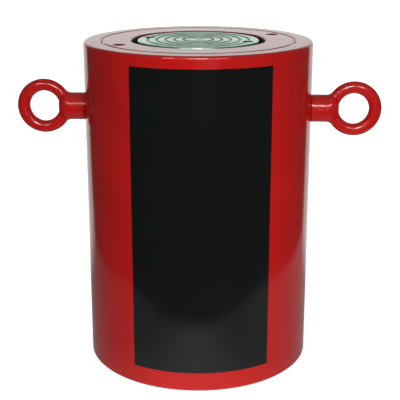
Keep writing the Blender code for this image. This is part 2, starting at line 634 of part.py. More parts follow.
def neck_stations():
    """Loops along an eye's shank and neck, as (distance from the ring's centre, height, thickness).

    The neck is round. Where it meets the ring, its outline follows a fillet that is tangent to the
    neck and to the ring, while its thickness shrinks towards that of the ring's bar.
    """
    seat = EYE_REACH - EYE_SEAT - SEAT_GAP
    shank_end = seat + EYE_SHANK_LENGTH
    stations = [
        (shank_end, EYE_SHANK_RADIUS - EYE_SHANK_CHAMFER, EYE_SHANK_RADIUS - EYE_SHANK_CHAMFER),
        (shank_end - EYE_SHANK_CHAMFER, EYE_SHANK_RADIUS, EYE_SHANK_RADIUS),
        (seat, EYE_SHANK_RADIUS, EYE_SHANK_RADIUS),
        (seat, EYE_NECK_RADIUS - SMALL_CHAMFER, EYE_NECK_RADIUS - SMALL_CHAMFER),
        (seat - SMALL_CHAMFER, EYE_NECK_RADIUS, EYE_NECK_RADIUS),
    ]
    reach = EYE_RING_OUTSIDE + EYE_FILLET
    rise = EYE_NECK_RADIUS + EYE_FILLET
    fillet_distance = math.sqrt(reach**2 - rise**2)
    last_angle = math.atan2(fillet_distance, rise)
    thin = EYE_NECK_RADIUS - EYE_END_HALF_THICKNESS
    run = fillet_distance - EYE_END_DISTANCE
    for step in range(FILLET_STEPS):
        angle = last_angle * step / FILLET_STEPS
        distance = fillet_distance - EYE_FILLET * math.sin(angle)
        height = rise - EYE_FILLET * math.cos(angle)
        share = (fillet_distance - distance) / run
        stations.append((distance, height, EYE_NECK_RADIUS - thin * share**2))
    middle = (stations[-1][0] + EYE_END_DISTANCE) / 2.0
    stations += [
        (middle, EYE_NECK_RADIUS, (stations[-1][2] + EYE_END_HALF_THICKNESS) / 2.0),
        (EYE_END_DISTANCE + SMALL_CHAMFER, EYE_END_HALF_HEIGHT + SMALL_CHAMFER, EYE_END_HALF_THICKNESS),
        (EYE_END_DISTANCE, EYE_END_HALF_HEIGHT, EYE_END_HALF_THICKNESS - SMALL_CHAMFER),
    ]
    return stations


def eye_neck(name, parent):
    """The lofted neck of an eye, along X from the ring towards the body, which is at -X."""
    bm = bmesh.new()
    loops = []
    for distance, height, thickness in neck_stations():
        angles = [math.tau * (index + 0.5) / EYE_NECK_SEGMENTS for index in range(EYE_NECK_SEGMENTS)]
        corners = [bm.verts.new((-distance, thickness * math.cos(a), height * math.sin(a))) for a in angles]
        loops.append([bm.edges.new(pair) for pair in zip(corners, corners[1:] + corners[:1])])
    for first, second in zip(loops, loops[1:]):
        bmesh.ops.bridge_loops(bm, edges=first + second)
    for end in (loops[0], loops[-1]):
        bmesh.ops.contextual_create(bm, geom=end)
    return solid(name, bm, None, parent)


def make_eye(name, side, paint):
    """A lifting eye: a round bar bent to a ring, blended into a thick neck with a screwed shank."""
    facing = Matrix.Rotation(0.0 if side > 0.0 else math.pi, 4, "Z")
    place = empty(name + "_centre", (side * EYE_REACH, 0.0, EYE_HEIGHT), facing)
    section = corner_arc((EYE_RING_RADIUS, 0.0), EYE_BAR_RADIUS, 0.0, 360.0, EYE_BAR_SEGMENTS)[:-1]
    ring = turned(name, section, paint, place, EYE_RING_SEGMENTS, closed=True)
    ring.matrix_local = ALONG_Y
    combine(ring, eye_neck(name + "_neck", place), "UNION")


def make_coupler(plated, spring_steel, brass, rubber, cap_plastic):
    """The quick coupler half in the oil port, with its poppet valve, and the dust cap over it."""
    axis = empty("coupler_axis", (0.0, SPOTFACE_PLANE, PORT_HEIGHT), ALONG_Y)
    relief = NOSE_RADIUS - NOSE_RELIEF_DEPTH
    outside = [
        (0.0, COUPLER_FOOT - COUPLER_SHANK_LENGTH),
        (PORT_SHANK_RADIUS - SMALL_CHAMFER, COUPLER_FOOT - COUPLER_SHANK_LENGTH),
        (PORT_SHANK_RADIUS, COUPLER_FOOT - COUPLER_SHANK_LENGTH + SMALL_CHAMFER),
        (PORT_SHANK_RADIUS, COUPLER_FOOT + HEX_LENGTH / 2.0),
        (relief, COUPLER_FOOT + HEX_LENGTH / 2.0),
        (relief, NOSE_FOOT + NOSE_RELIEF_LENGTH),
        (NOSE_RADIUS, NOSE_FOOT + NOSE_RELIEF_LENGTH + NOSE_RELIEF_DEPTH),
        (NOSE_RADIUS, NOSE_END - NOSE_CHAMFER),
        (NOSE_RADIUS - NOSE_CHAMFER, NOSE_END),
        (0.0, NOSE_END),
    ]
    body = turned("coupler_body", outside, plated, axis, PORT_SEGMENTS)
    combine(body, bar("coupler_hex", HEX_RADIUS, COUPLER_FOOT, NOSE_FOOT, HEX_SIDES, axis), "UNION")

    shank_end = COUPLER_FOOT - COUPLER_SHANK_LENGTH
    snap_low = shank_end + SNAP_RING_HEIGHT_FROM_END
    snap_top = snap_low + SNAP_RING_HEIGHT
    snap_floor = CHAMBER_RADIUS + SNAP_GROOVE_DEPTH
    seat_low = snap_top + SEAT_GAP
    seat_top = seat_low + SPRING_SEAT_THICKNESS
    throat_low = CHAMBER_TOP + CHAMBER_RADIUS - THROAT_RADIUS
    mouth_floor = NOSE_END - MOUTH_DEPTH
    seal_top = NOSE_END - MOUTH_SEAL_DEPTH + MOUTH_SEAL_HEIGHT
    seal_low = seal_top - MOUTH_SEAL_HEIGHT
    seal_floor = MOUTH_RADIUS + MOUTH_SEAL_THICKNESS
    flow_way = [
        (0.0, shank_end - CUT_MARGIN),
        (CHAMBER_RADIUS, shank_end - CUT_MARGIN),
        *groove(CHAMBER_RADIUS, snap_floor, snap_low - SEAT_GAP, snap_top + SEAT_GAP / 2.0),
        (CHAMBER_RADIUS, CHAMBER_TOP),
        (THROAT_RADIUS, throat_low),
        (THROAT_RADIUS, mouth_floor),
        (MOUTH_RADIUS, mouth_floor),
        *groove(MOUTH_RADIUS, seal_floor, seal_low - SEAT_GAP, seal_top + SEAT_GAP),
        (MOUTH_RADIUS, NOSE_END - SMALL_CHAMFER),
        (MOUTH_RADIUS + SMALL_CHAMFER + CUT_MARGIN, NOSE_END + CUT_MARGIN),
        (0.0, NOSE_END + CUT_MARGIN),
    ]
    combine(body, turned("flow_way_cut", flow_way, None, axis, PORT_SEGMENTS))

    seal = o_ring_section(MOUTH_RADIUS - SEAT_GAP, seal_floor - SEAT_GAP, seal_low, seal_top)
    turned("coupler_mouth_seal", seal, rubber, axis, PORT_SEGMENTS, closed=True)
    seat = ring_section(SPRING_SEAT_HOLE_RADIUS, CHAMBER_RADIUS - SEAT_GAP, seat_low, seat_top)
    turned("coupler_spring_seat", seat, brass, axis, PORT_SEGMENTS, closed=True)

    snap_outer = snap_floor - SEAT_GAP
    snap = ring_section(snap_outer - SNAP_RING_WIDTH, snap_outer, snap_low, snap_top)
    snap_ring = turned("coupler_snap_ring", snap, spring_steel, axis, PORT_SEGMENTS, closed=True)
    half = math.radians(SNAP_RING_OPENING / 2.0)
    reach = snap_outer * 2.0
    wedge = [(0.0, 0.0), (reach, -reach * math.tan(half)), (reach, reach * math.tan(half))]
    opening = outline_prism("snap_ring_opening_cut", wedge, snap_low - CUT_MARGIN, snap_top + CUT_MARGIN)
    opening.parent = axis
    combine(snap_ring, opening)

    # The poppet's cone stays parallel to its seat.
    head = CHAMBER_RADIUS - POPPET_CLEARANCE
    cone_sum = CHAMBER_TOP + CHAMBER_RADIUS - SEAT_GAP * math.sqrt(2.0)
    head_top = cone_sum - head
    head_low = head_top - POPPET_HEAD_LENGTH
    tip = throat_low + POPPET_NOSE_REACH
    poppet_profile = [
        (0.0, head_low - POPPET_STEM_LENGTH),
        (POPPET_STEM_RADIUS, head_low - POPPET_STEM_LENGTH),
        (POPPET_STEM_RADIUS, head_low),
        (head, head_low),
        (head, head_top),
        (POPPET_NOSE_RADIUS, cone_sum - POPPET_NOSE_RADIUS),
        (POPPET_NOSE_RADIUS, tip - SMALL_CHAMFER),
        (POPPET_NOSE_RADIUS - SMALL_CHAMFER, tip),
        (0.0, tip),
    ]
    poppet = turned("coupler_poppet", poppet_profile, plated, axis, PORT_SEGMENTS)
    for index in range(POPPET_FLUTES):
        name = f"poppet_flute_cut_{index}"
        flute = bar(name, POPPET_FLUTE_RADIUS, head_low - SMALL_CHAMFER, head_top, HOLE_SEGMENTS, axis)
        flute.location = on_circle(head, 360.0 * index / POPPET_FLUTES)
        combine(poppet, flute)

    coil_low = seat_top + SEAT_GAP + SPRING_WIRE_RADIUS
    coil_high = head_low - SEAT_GAP - SPRING_WIRE_RADIUS
    path = bpy.data.curves.new("coupler_spring", "CURVE")
    path.dimensions = "3D"
    path.bevel_depth = SPRING_WIRE_RADIUS
    path.bevel_resolution = 1
    path.use_fill_caps = True
    steps = round(SPRING_TURNS * SPRING_STEPS_PER_TURN)
    spline = path.splines.new("POLY")
    spline.points.add(steps)
    for index, point in enumerate(spline.points):
        share = index / steps
        place = on_circle(SPRING_COIL_RADIUS, 360.0 * SPRING_TURNS * share, coil_low + (coil_high - coil_low) * share)
        point.co = (*place, 1.0)
    path.materials.append(spring_steel)
    spring = bpy.data.objects.new("coupler_spring", path)
    bpy.context.scene.collection.objects.link(spring)
    spring.parent = axis

    make_dust_cap(cap_plastic)


def make_dust_cap(cap_plastic):
    """A moulded cap over the coupler's nose, with grip flutes. Its empty is on the coupler's axis."""
    axis = empty("dust_cap_axis", (0.0, SPOTFACE_PLANE + NOSE_FOOT, PORT_HEIGHT), ALONG_Y)
    inner = NOSE_RADIUS + RUNNING_GAP
    outer = inner + CAP_WALL
    floor = NOSE_LENGTH + SEAT_GAP
    end = floor + CAP_END_THICKNESS
    corners = CAP_FLUTES * 2
    outline = []
    for index in range(corners):
        radius = outer - CAP_FLUTE_DEPTH * (index % 2)
        point = on_circle(radius, 360.0 * index / corners)
        outline.append((point.x, point.y))
    cap = outline_prism("dust_cap", outline, SEAT_GAP, end - CAP_EDGE_CHAMFER)
    cap.data.materials.append(cap_plastic)
    cap.parent = axis
    crown_radius = outer - CAP_FLUTE_DEPTH - CAP_EDGE_CHAMFER / 2.0
    crown_profile = [
        (0.0, floor / 2.0),
        (crown_radius, floor / 2.0),
        (crown_radius, end - CAP_EDGE_CHAMFER),
        (crown_radius - CAP_EDGE_CHAMFER, end),
        (0.0, end),
    ]
    combine(cap, turned("dust_cap_crown", crown_profile, None, axis, PORT_SEGMENTS), "UNION")
    combine(cap, bar("dust_cap_hollow_cut", inner, -CUT_MARGIN, floor, PORT_SEGMENTS, axis))


def build():
    """Clears the scene and makes every piece."""
    for item in list(bpy.data.objects):
        bpy.data.objects.remove(item, do_unlink=True)

    red_enamel = finish("red_enamel", (0.42, 0.012, 0.010), 0.15, 0.0)
    hard_chrome = finish("hard_chrome", (0.62, 0.63, 0.65), 0.12, 1.0)
    plated_steel = finish("plated_steel", (0.52, 0.62, 0.55), 0.35, 1.0)
    black_oxide = finish("black_oxide_steel", (0.03, 0.03, 0.03), 0.4, 0.8)
    zinc_plate = finish("zinc_plated_steel", (0.55, 0.56, 0.55), 0.3, 1.0)
    spring_steel = finish("spring_steel", (0.35, 0.35, 0.36), 0.35, 1.0)
    brass = finish("brass", (0.60, 0.42, 0.15), 0.3, 1.0)
    bronze = finish("bearing_band", (0.30, 0.16, 0.06), 0.6, 0.0)
    nitrile = finish("nitrile_rubber", (0.02, 0.02, 0.02), 0.6, 0.0)
    polyurethane = finish("black_polyurethane", (0.015, 0.015, 0.015), 0.45, 0.0)
    nylon = finish("nylon", (0.60, 0.56, 0.45), 0.5, 0.0)
    cap_plastic = finish("cap_plastic", (0.02, 0.02, 0.02), 0.4, 0.0)

    make_body(red_enamel)
    make_stop_ring(red_enamel, bronze, nitrile, polyurethane)
    axis, plunger = make_plunger(hard_chrome, bronze, nitrile, nylon)
    make_saddle(plated_steel, black_oxide, axis, plunger)
    make_eye("lifting_eye_left", -1.0, red_enamel)
    make_eye("lifting_eye_right", 1.0, red_enamel)
    make_coupler(zinc_plate, spring_steel, brass, nitrile, cap_plastic)


build()
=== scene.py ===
# %% [markdown]
# A high tonnage hydraulic cylinder, dressed.
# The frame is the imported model: every solid, in metres, with the bodies that slide. This script never
# moves it. It turns finer pieces over the solids that show, gives each one the finish of the real
# thing, and lights the whole as a studio would. Most of the object was made on a lathe, so most of
# the lesson is about turning a profile and about what a gloss paint does at its edges.

# %% Open the frame
import math

import bmesh
import bpy
from mathutils import Matrix, Vector


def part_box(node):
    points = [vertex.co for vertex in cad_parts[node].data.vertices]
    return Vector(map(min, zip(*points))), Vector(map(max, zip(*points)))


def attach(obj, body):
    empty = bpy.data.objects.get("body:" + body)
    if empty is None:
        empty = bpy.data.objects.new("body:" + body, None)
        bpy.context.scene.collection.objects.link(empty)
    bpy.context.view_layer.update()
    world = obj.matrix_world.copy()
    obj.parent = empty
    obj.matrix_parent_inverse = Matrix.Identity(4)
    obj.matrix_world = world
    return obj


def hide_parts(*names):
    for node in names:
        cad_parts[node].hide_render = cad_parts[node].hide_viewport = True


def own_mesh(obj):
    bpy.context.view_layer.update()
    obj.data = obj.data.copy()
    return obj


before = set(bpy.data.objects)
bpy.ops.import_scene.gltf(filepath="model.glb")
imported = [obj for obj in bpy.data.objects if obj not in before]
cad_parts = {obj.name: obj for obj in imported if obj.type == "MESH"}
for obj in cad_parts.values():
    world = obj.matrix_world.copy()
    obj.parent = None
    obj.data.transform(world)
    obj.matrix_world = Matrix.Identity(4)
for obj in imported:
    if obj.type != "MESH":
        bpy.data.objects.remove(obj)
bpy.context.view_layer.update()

MM = 0.001

# %% [markdown]
# Colours are written as sRGB hex, as a paint chart or a picture gives them, but a shader adds and
# multiplies light, so it needs linear values. One function does the conversion, so no colour in
# this file has to be worked out twice.


# %% One colour, from sRGB to linear
def linear(colour):
    """A hex colour such as C8161E as the linear red, green, blue and alpha that a shader takes."""
    shares = [int(colour[start : start + 2], 16) / 255.0 for start in (0, 2, 4)]
    return (*[s / 12.92 if s <= 0.04045 else ((s + 0.055) / 1.055) ** 2.4 for s in shares], 1.0)


print("mid grey 808080 is", round(linear("808080")[0], 3), "in linear light")

# %% [markdown]
# A material is a small network. Two helpers are enough: one adds any node with its settings and
# links, and one starts a material on the Principled shader. A number that is the same all over the
# surface goes straight onto the shader's own socket, where an exporter can find it.


# %% Nodes and materials
def add(tree, kind, inputs=None, **settings):
    """Adds a node. An input given as a socket is linked, and any other value is set on it."""
    node = tree.nodes.new(kind)
    for name, value in settings.items():
        setattr(node, name, value)
    for name, value in (inputs or {}).items():
        if isinstance(value, bpy.types.NodeSocket):
            tree.links.new(value, node.inputs[name])
        else:
            node.inputs[name].default_value = value
    return node


def finish(name, colour, roughness, metallic=0.0, **more):
    """A material with one Principled shader. Returns the material, its tree and the shader."""
    material = bpy.data.materials.new(name)
    material.use_nodes = True
    shader = material.node_tree.nodes["Principled BSDF"]
    shader.inputs["Base Color"].default_value = linear(colour)
    shader.inputs["Roughness"].default_value = roughness
    shader.inputs["Metallic"].default_value = metallic
    for socket, value in more.items():
        shader.inputs[socket.replace("_", " ")].default_value = value
    material.diffuse_color = linear(colour)
    return material, material.node_tree, shader


# %% [markdown]
# Three kinds of surface come back again and again: a cloudy change of colour or gloss, a fine
# relief, and the rings that a lathe tool leaves. Each pattern is measured in millimetres on the
# object, because Object coordinates here are metres: a noise whose scale is 1 / 3 mm has lumps
# about 3 mm across, whatever the size of the piece.


# %% Patterns measured in millimetres
def cloud(tree, lump_mm, low, high):
    """A soft noise with lumps of this size, spread between two values."""
    place = add(tree, "ShaderNodeTexCoord").outputs["Object"]
    inputs = {"Vector": place, "Scale": 1.0 / (lump_mm * MM), "Detail": 2.0}
    noise = add(tree, "ShaderNodeTexNoise", inputs).outputs["Fac"]
    spread = {"Value": noise, "From Min": 0.3, "From Max": 0.7, "To Min": low, "To Max": high}
    return add(tree, "ShaderNodeMapRange", spread).outputs["Result"]


def tint(tree, shader, lump_mm, first, second):
    """Lets the base colour drift between two colours."""
    mixed = add(tree, "ShaderNodeMix", data_type="RGBA")
    sockets = {s.name: s for s in mixed.inputs if s.enabled}
    tree.links.new(cloud(tree, lump_mm, 0.0, 1.0), sockets["Factor"])
    sockets["A"].default_value = linear(first)
    sockets["B"].default_value = linear(second)
    tree.links.new([s for s in mixed.outputs if s.enabled][0], shader.inputs["Base Color"])


def relief(tree, shader, height, depth_mm, under=None):
    """Bumps the surface by a height between 0 and 1, over another relief if there is one."""
    wires = {"Height": height, "Distance": depth_mm * MM, "Strength": 1.0}
    if under:
        wires["Normal"] = under
    bump = add(tree, "ShaderNodeBump", wires).outputs["Normal"]
    tree.links.new(bump, shader.inputs["Normal"])
    return bump


def tool_marks(tree, pitch_mm, around, along):
    """Rings left by a lathe tool about an axis, or the lines of one that moved along it."""
    kind = {"wave_type": "RINGS", "rings_direction": around}
    if along:
        kind = {"wave_type": "BANDS", "bands_direction": around}
    inputs = {
        "Vector": add(tree, "ShaderNodeTexCoord").outputs["Object"],
        "Scale": math.pi / 10.0 / (pitch_mm * MM),
        "Distortion": 0.6,
        "Detail": 2.0,
        "Detail Scale": 3.0,
    }
    return add(tree, "ShaderNodeTexWave", inputs, **kind).outputs["Fac"]


# %% [markdown]
# The cylinder, its stop ring and its lifting eyes share one gloss enamel, sprayed and baked over
# blasted steel. Enamel is a clear binder full of pigment, so it is a plain dielectric with an IOR
# near 1.5: deep colour face on, and nearly a mirror at the edges, where the studio's white shows as
# the pale bands of the photograph. Those bands are a little warm, so the reflection is tinted.
# Spraying leaves orange peel, a low relief some 3 mm across. It could be a displaced mesh, but it
# is only a few micrometres deep, so a bump is truer and cheaper. On the eyes, which are forged and
# not machined, the same paint dries duller and flatter, and the streaks of light are softer.


# %% Gloss enamel on steel
WARM_SKIN = (1.0, 0.93, 0.86, 1.0)
PEEL_LUMP = 3.2
PEEL_DEPTH = 0.0025


def gloss_enamel(name, colour, drift, low=0.07, high=0.13, peel_mm=PEEL_DEPTH):
    """Baked red enamel: saturated face on, a pale reflection at grazing angles, faint orange peel."""
    material, tree, shader = finish(name, colour, 0.10, IOR=1.5, Specular_Tint=WARM_SKIN)
    tint(tree, shader, 45.0, colour, drift)
    tree.links.new(cloud(tree, 12.0, low, high), shader.inputs["Roughness"])
    peel = relief(tree, shader, cloud(tree, PEEL_LUMP, 0.0, 1.0), peel_mm)
    relief(tree, shader, cloud(tree, 0.7, 0.0, 1.0), 0.0002, peel)
    return material


red_enamel = gloss_enamel("red_gloss_enamel", "C41817", "BA1616")
eye_enamel = gloss_enamel("red_enamel_on_forging", "C41817", "BA1616", 0.15, 0.20, 0.001)
print(red_enamel.name, "and", eye_enamel.name, "have", len(red_enamel.node_tree.nodes), "nodes each")

# %% [markdown]
# The bare metals differ by how they were worked. The saddle was faced on a lathe and zinc plated,
# with a passivation that leaves a green tint; its grooves get a darker finish, which is painted
# shade. The rod was ground and hard chromed, so it is close to a mirror. The coupler was turned and
# zinc plated, the screws blacked, and the bare opening of the stop ring gets a dark reddish finish,
# which is painted shade of the deep gap there. A metal has no colour of its own under its
# reflection: its base colour is the reflection's tint, and its IOR stays at the default. Tool marks
# draw a highlight out across themselves, so the shader is anisotropic about the axis of turning.
# Real marks are 0.1 to 0.2 mm apart, which is finer than a pixel here, so they are drawn two or
# three times coarser.


# %% Worked and plated metals
STRETCH = 0.75


def worked_metal(name, colour, drift, roughness, pitch_mm, depth_mm, around="Z", along=False):
    """A metal whose last tool left marks of one pitch. They stretch the highlights across them."""
    stretch = {"Anisotropic": STRETCH, "Anisotropic_Rotation": 0.25}
    material, tree, shader = finish(name, colour, roughness, 1.0, **stretch)
    ring = add(tree, "ShaderNodeTangent", direction_type="RADIAL", axis=around)
    tree.links.new(ring.outputs["Tangent"], shader.inputs["Tangent"])
    tint(tree, shader, 9.0, colour, drift)
    tree.links.new(cloud(tree, 5.0, roughness * 0.8, roughness * 1.25), shader.inputs["Roughness"])
    marks = relief(tree, shader, tool_marks(tree, pitch_mm, around, along), depth_mm)
    relief(tree, shader, cloud(tree, 1.1, 0.0, 1.0), depth_mm * 0.5, marks)
    return material


saddle_zinc = worked_metal("green_passivated_zinc", "AACCB8", "9BBFA9", 0.32, 0.5, 0.00008)
# Painted shade: the saddle's grooves and counterbores get this darker finish.
painted_groove_shade = worked_metal("painted_groove_shade", "4C6457", "3A4E43", 0.40, 0.5, 0.0005)
# Painted shade: the stop ring's bare opening gets this dark reddish finish, for the deep gap there.
gap_shaded = worked_metal("oversprayed_steel", "45292D", "331F22", 0.50, 0.3, 0.0005)
hard_chrome = worked_metal("ground_hard_chrome", "D3D6D9", "CBCFD3", 0.15, 0.4, 0.0001, along=True)
piston_steel = worked_metal("turned_piston_steel", "9C9DA0", "929396", 0.32, 0.5, 0.0006, along=True)
coupler_zinc = worked_metal("turned_zinc_plate", "C2C3BF", "B5B6B3", 0.30, 0.4, 0.0002, "Y", True)
black_oxide = worked_metal("black_oxide_steel", "2A2A2C", "202022", 0.42, 0.3, 0.001)
drawn_wire = worked_metal("drawn_spring_wire", "77787A", "66676A", 0.33, 0.3, 0.001, "Y", True)
turned_brass = worked_metal("turned_brass", "C9A35A", "BE9650", 0.27, 0.3, 0.002, "Y")
print("metals:", [m.name for m in bpy.data.materials if "zinc" in m.name or "chrome" in m.name])

# %% [markdown]
# The seals and bands are moulded or machined plastics and rubbers. Rubber is dark and scatters
# light off a fine mould texture, the bearing band is a resin filled with bronze flakes, and nylon
# is creamy and waxy. What the eye reads is mostly roughness and grain size, so one helper makes
# them all from a colour, a roughness and a grain in millimetres.


# %% Moulded rubbers and plastics
def moulded(name, colour, drift, roughness, grain_mm, depth_mm, **more):
    """A moulded surface: a dull even colour and the fine grain of its mould."""
    material, tree, shader = finish(name, colour, roughness, **more)
    tint(tree, shader, grain_mm * 4.0, colour, drift)
    tree.links.new(cloud(tree, 6.0, roughness - 0.06, roughness + 0.06), shader.inputs["Roughness"])
    relief(tree, shader, cloud(tree, grain_mm, 0.0, 1.0), depth_mm)
    return material


polyurethane = moulded("black_polyurethane", "17181A", "121314", 0.34, 0.6, 0.006, IOR=1.5)
nitrile = moulded("nitrile_rubber", "1A1A1A", "141414", 0.62, 0.5, 0.01, IOR=1.5)
bearing_band = moulded("bronze_filled_band", "7A4F27", "6B4421", 0.55, 0.5, 0.006, IOR=1.45)
nylon = moulded("machined_nylon", "DDD3BA", "D3C8AC", 0.45, 0.8, 0.004, IOR=1.53)
cap_plastic = moulded("moulded_cap_plastic", "1B1C1E", "161719", 0.42, 0.45, 0.012, IOR=1.49)
print("moulded:", [m.name for m in (polyurethane, nitrile, bearing_band, nylon, cap_plastic)])

# %% [markdown]
# The black panel is a cast vinyl film, printed black and stuck round the front of the cylinder. It
# is thin enough to follow the orange peel under it, so it shines almost as the enamel does, and it
# mirrors the pale floor in its lower half. It is left plain.

# %% Cast vinyl film
black_vinyl, tree, shader = finish("black_cast_vinyl", "0D0F0F", 0.13, IOR=1.5)
tint(tree, shader, 30.0, "0D0F0F", "101212")
tree.links.new(cloud(tree, 15.0, 0.10, 0.16), shader.inputs["Roughness"])
relief(tree, shader, cloud(tree, PEEL_LUMP, 0.0, 1.0), PEEL_DEPTH)
print("made", black_vinyl.name)

# %% [markdown]
# Nearly every piece is a profile turned about an axis. A real edge is never sharp: it is broken by
# a tool and then softened by paint. So an outline is given as corners, each with its own radius,
# and one function replaces a corner by an arc that is tangent to both sides. The arcs catch the
# thin highlights that tell the eye an edge is there.

# %% Outlines with softened corners
ARC_STEPS = 4


def softened(corners, ring=False):
    """An outline from (radius, height, softening) corners, with a tangent arc at each soft one."""
    outline = []
    for index, (across, up, soft) in enumerate(corners):
        at_end = not ring and index in (0, len(corners) - 1)
        here = Vector((across, up))
        if soft <= 0.0 or at_end:
            outline.append(here)
            continue
        back = (Vector(corners[index - 1][:2]) - here).normalized()
        ahead = (Vector(corners[(index + 1) % len(corners)][:2]) - here).normalized()
        half = back.angle(ahead) / 2.0
        centre = here + (back + ahead).normalized() * (soft / math.sin(half))
        start = here + back * (soft / math.tan(half)) - centre
        end = here + ahead * (soft / math.tan(half)) - centre
        turn = start.angle(end)
        for step in range(ARC_STEPS + 1):
            share = step / ARC_STEPS
            arm = start * math.sin((1.0 - share) * turn) + end * math.sin(share * turn)
            outline.append(centre + arm / math.sin(turn))
    return outline


def groove(wall, floor, start, end, soft):
    """Four corners of a square groove in a wall, between two heights."""
    return [(wall, start, soft), (floor, start, soft), (floor, end, soft), (wall, end, soft)]


print("a softened square has", len(softened(groove(1.0, 0.0, 0.0, 1.0, 0.1), ring=True)), "points")

# %% [markdown]
# Blender can turn a profile with the Screw modifier or the spin operator. Here the rings of points
# are laid out in mesh code instead, because that way one function can also press a pattern into
# the wall as it goes: the flutes of the dust cap and the thread of the coupler are small changes
# of radius that depend on the angle and the height. Every piece rides on its body as it is made.

# %% Turning a piece
FINE = 192
MEDIUM = 96
SMALL = 48
SMOOTH_ANGLE = math.radians(35.0)
ON_AXIS = 1e-7


def shown(name, data):
    """An object with this data, linked into the scene."""
    made = bpy.data.objects.new(name, data)
    bpy.context.scene.collection.objects.link(made)
    return made


def piece(name, bm, material, body, place=None):
    """Puts a closed shape in place, with its faces outwards, and lets it ride on a body."""
    bmesh.ops.recalc_face_normals(bm, faces=bm.faces[:])
    if bm.calc_volume(signed=True) < 0.0:
        bmesh.ops.reverse_faces(bm, faces=bm.faces[:])
    bm.transform(place or Matrix.Identity(4))
    mesh = bpy.data.meshes.new(name)
    bm.to_mesh(mesh)
    bm.free()
    if material:
        mesh.materials.append(material)
    mesh.shade_smooth()
    mesh.set_sharp_from_angle(angle=SMOOTH_ANGLE)
    made = shown(name, mesh)
    if body:
        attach(made, body)
    return made


def circle(count):
    """The cosine and sine of this many angles, evenly round a turn."""
    return [(math.cos(math.tau * i / count), math.sin(math.tau * i / count)) for i in range(count)]


def turned(name, outline, material=None, body=None, segments=FINE, place=None, ring=False, press=None):
    """Turns an outline about Z. An open one starts and ends on the axis, a ring's closes on itself."""
    bm = bmesh.new()
    loops = []
    for radius, height in outline:
        spots = circle(segments) if radius > ON_AXIS else [(1.0, 0.0)]
        loop = []
        for index, (x, y) in enumerate(spots):
            reach = radius - (press(radius, math.tau * index / segments, height) if press else 0.0)
            loop.append(bm.verts.new((reach * x, reach * y, height)))
        loops.append(loop)
    for low, high in zip(loops, loops[1:] + loops[:1]) if ring else zip(loops, loops[1:]):
        for index in range(segments):
            after = (index + 1) % segments
            quad = (low[index % len(low)], low[after % len(low)],
                    high[after % len(high)], high[index % len(high)])
            corners = list(dict.fromkeys(quad))
            if len(corners) > 2:
                bm.faces.new(corners)
    return piece(name, bm, material, body, place)


def settle(target):
    """Makes what the modifiers show into the mesh itself, and smooths it as before."""
    graph = bpy.context.evaluated_depsgraph_get()
    mesh = bpy.data.meshes.new_from_object(target.evaluated_get(graph), depsgraph=graph)
    target.modifiers.clear()
    target.data = mesh
    mesh.shade_smooth()
    mesh.set_sharp_from_angle(angle=SMOOTH_ANGLE)


def machine(target, *tools, operation="DIFFERENCE"):
    """Cuts each tool out of the target, or joins it on, and takes the tool away."""
    for tool in tools:
        step = target.modifiers.new(tool.name, "BOOLEAN")
        step.operation = operation
        step.solver = "EXACT"
        step.object = tool
    settle(target)
    for tool in tools:
        bpy.data.objects.remove(tool)
    steady = target.modifiers.new("steady", "WEIGHTED_NORMAL")
    steady.keep_sharp = True
    return target


def refinish(target, material, where):
    """Gives another finish to the faces whose middle passes a test."""
    target.data.materials.append(material)
    for face in target.data.polygons:
        if where(face.center):
            face.material_index = 1


def drill(name, radius, low, high, place=None, segments=SMALL, lead=0.0):
    """A cutter along Z with a flat foot, and a lead that breaks the hole's edge at height 0."""
    if lead:
        wide = radius + lead * 1.5
        outline = [(0.0, low), (radius, low), (radius, -lead), (wide, lead / 2.0), (0.0, lead / 2.0)]
    else:
        outline = [(0.0, low), (radius, low), (radius, high), (0.0, high)]
    return turned(name, outline, segments=segments, place=place)


def off_axis(degrees, radius, height=0.0):
    """A place at this angle about Z, this far from the axis and this high."""
    return Matrix.Rotation(math.radians(degrees), 4, "Z") @ Matrix.Translation((radius, 0.0, height))


def to_the_side(sign, height):
    """A place on the axis at this height, with its own Z pointing right, or left if the sign is -1."""
    return Matrix.Translation((0.0, 0.0, height)) @ Matrix.Rotation(sign * math.pi / 2.0, 4, "Y")


def to_the_back(height, distance=0.0):
    """A place this far behind the axis at this height, with its own Z pointing back."""
    return Matrix.Translation((0.0, distance, height)) @ Matrix.Rotation(math.radians(-90.0), 4, "X")


print("turning with", FINE, "facets for large pieces,", MEDIUM, "and", SMALL, "for smaller ones")

# %% [markdown]
# The barrel and its base are one forging, bored from the top. The corner between the wall and the
# top face is rounded by 2.6 mm, and that small arc carries the bright line at the front of the rim.
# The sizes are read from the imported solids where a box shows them. The bore and the seats, which
# no outside box shows, repeat the working sizes of the solid model.

# %% Barrel
low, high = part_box("cylinder_body")
BODY_RADIUS = high.x
TOP = high.z
ring_low, ring_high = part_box("stop_ring")
RING_RADIUS = ring_high.x
RING_FOOT = ring_low.z
GAP = 0.3 * MM
RIM_ROUND = 2.6 * MM
SEAM = 1.4 * MM
BORE_RADIUS = 80.0 * MM
FLOOR_HEIGHT = 49.4 * MM
ROD_RADIUS = 57.15 * MM
shoulder = RING_FOOT - GAP
recess = RING_RADIUS + GAP

barrel_outline = softened([
    (0.0, 0.0, 0.0),
    (BODY_RADIUS - 2.0 * MM, 0.0, 0.8 * MM),
    (BODY_RADIUS, 2.0 * MM, 0.8 * MM),
    (BODY_RADIUS, TOP, RIM_ROUND),
    (recess + SEAM, TOP, 0.4 * MM),
    (recess, TOP - SEAM, 0.2 * MM),
    (recess, shoulder, 0.4 * MM),
    (BORE_RADIUS + 1.5 * MM, shoulder, 0.3 * MM),
    (BORE_RADIUS, shoulder - 1.5 * MM, 0.5 * MM),
    (BORE_RADIUS, FLOOR_HEIGHT, 3.0 * MM),
    (0.0, FLOOR_HEIGHT, 0.0),
])
barrel = turned("barrel", barrel_outline, red_enamel, "root", FINE)
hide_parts("cylinder_body")
print("barrel", round(2 * BODY_RADIUS / MM), "mm across and", round(TOP / MM), "mm high")

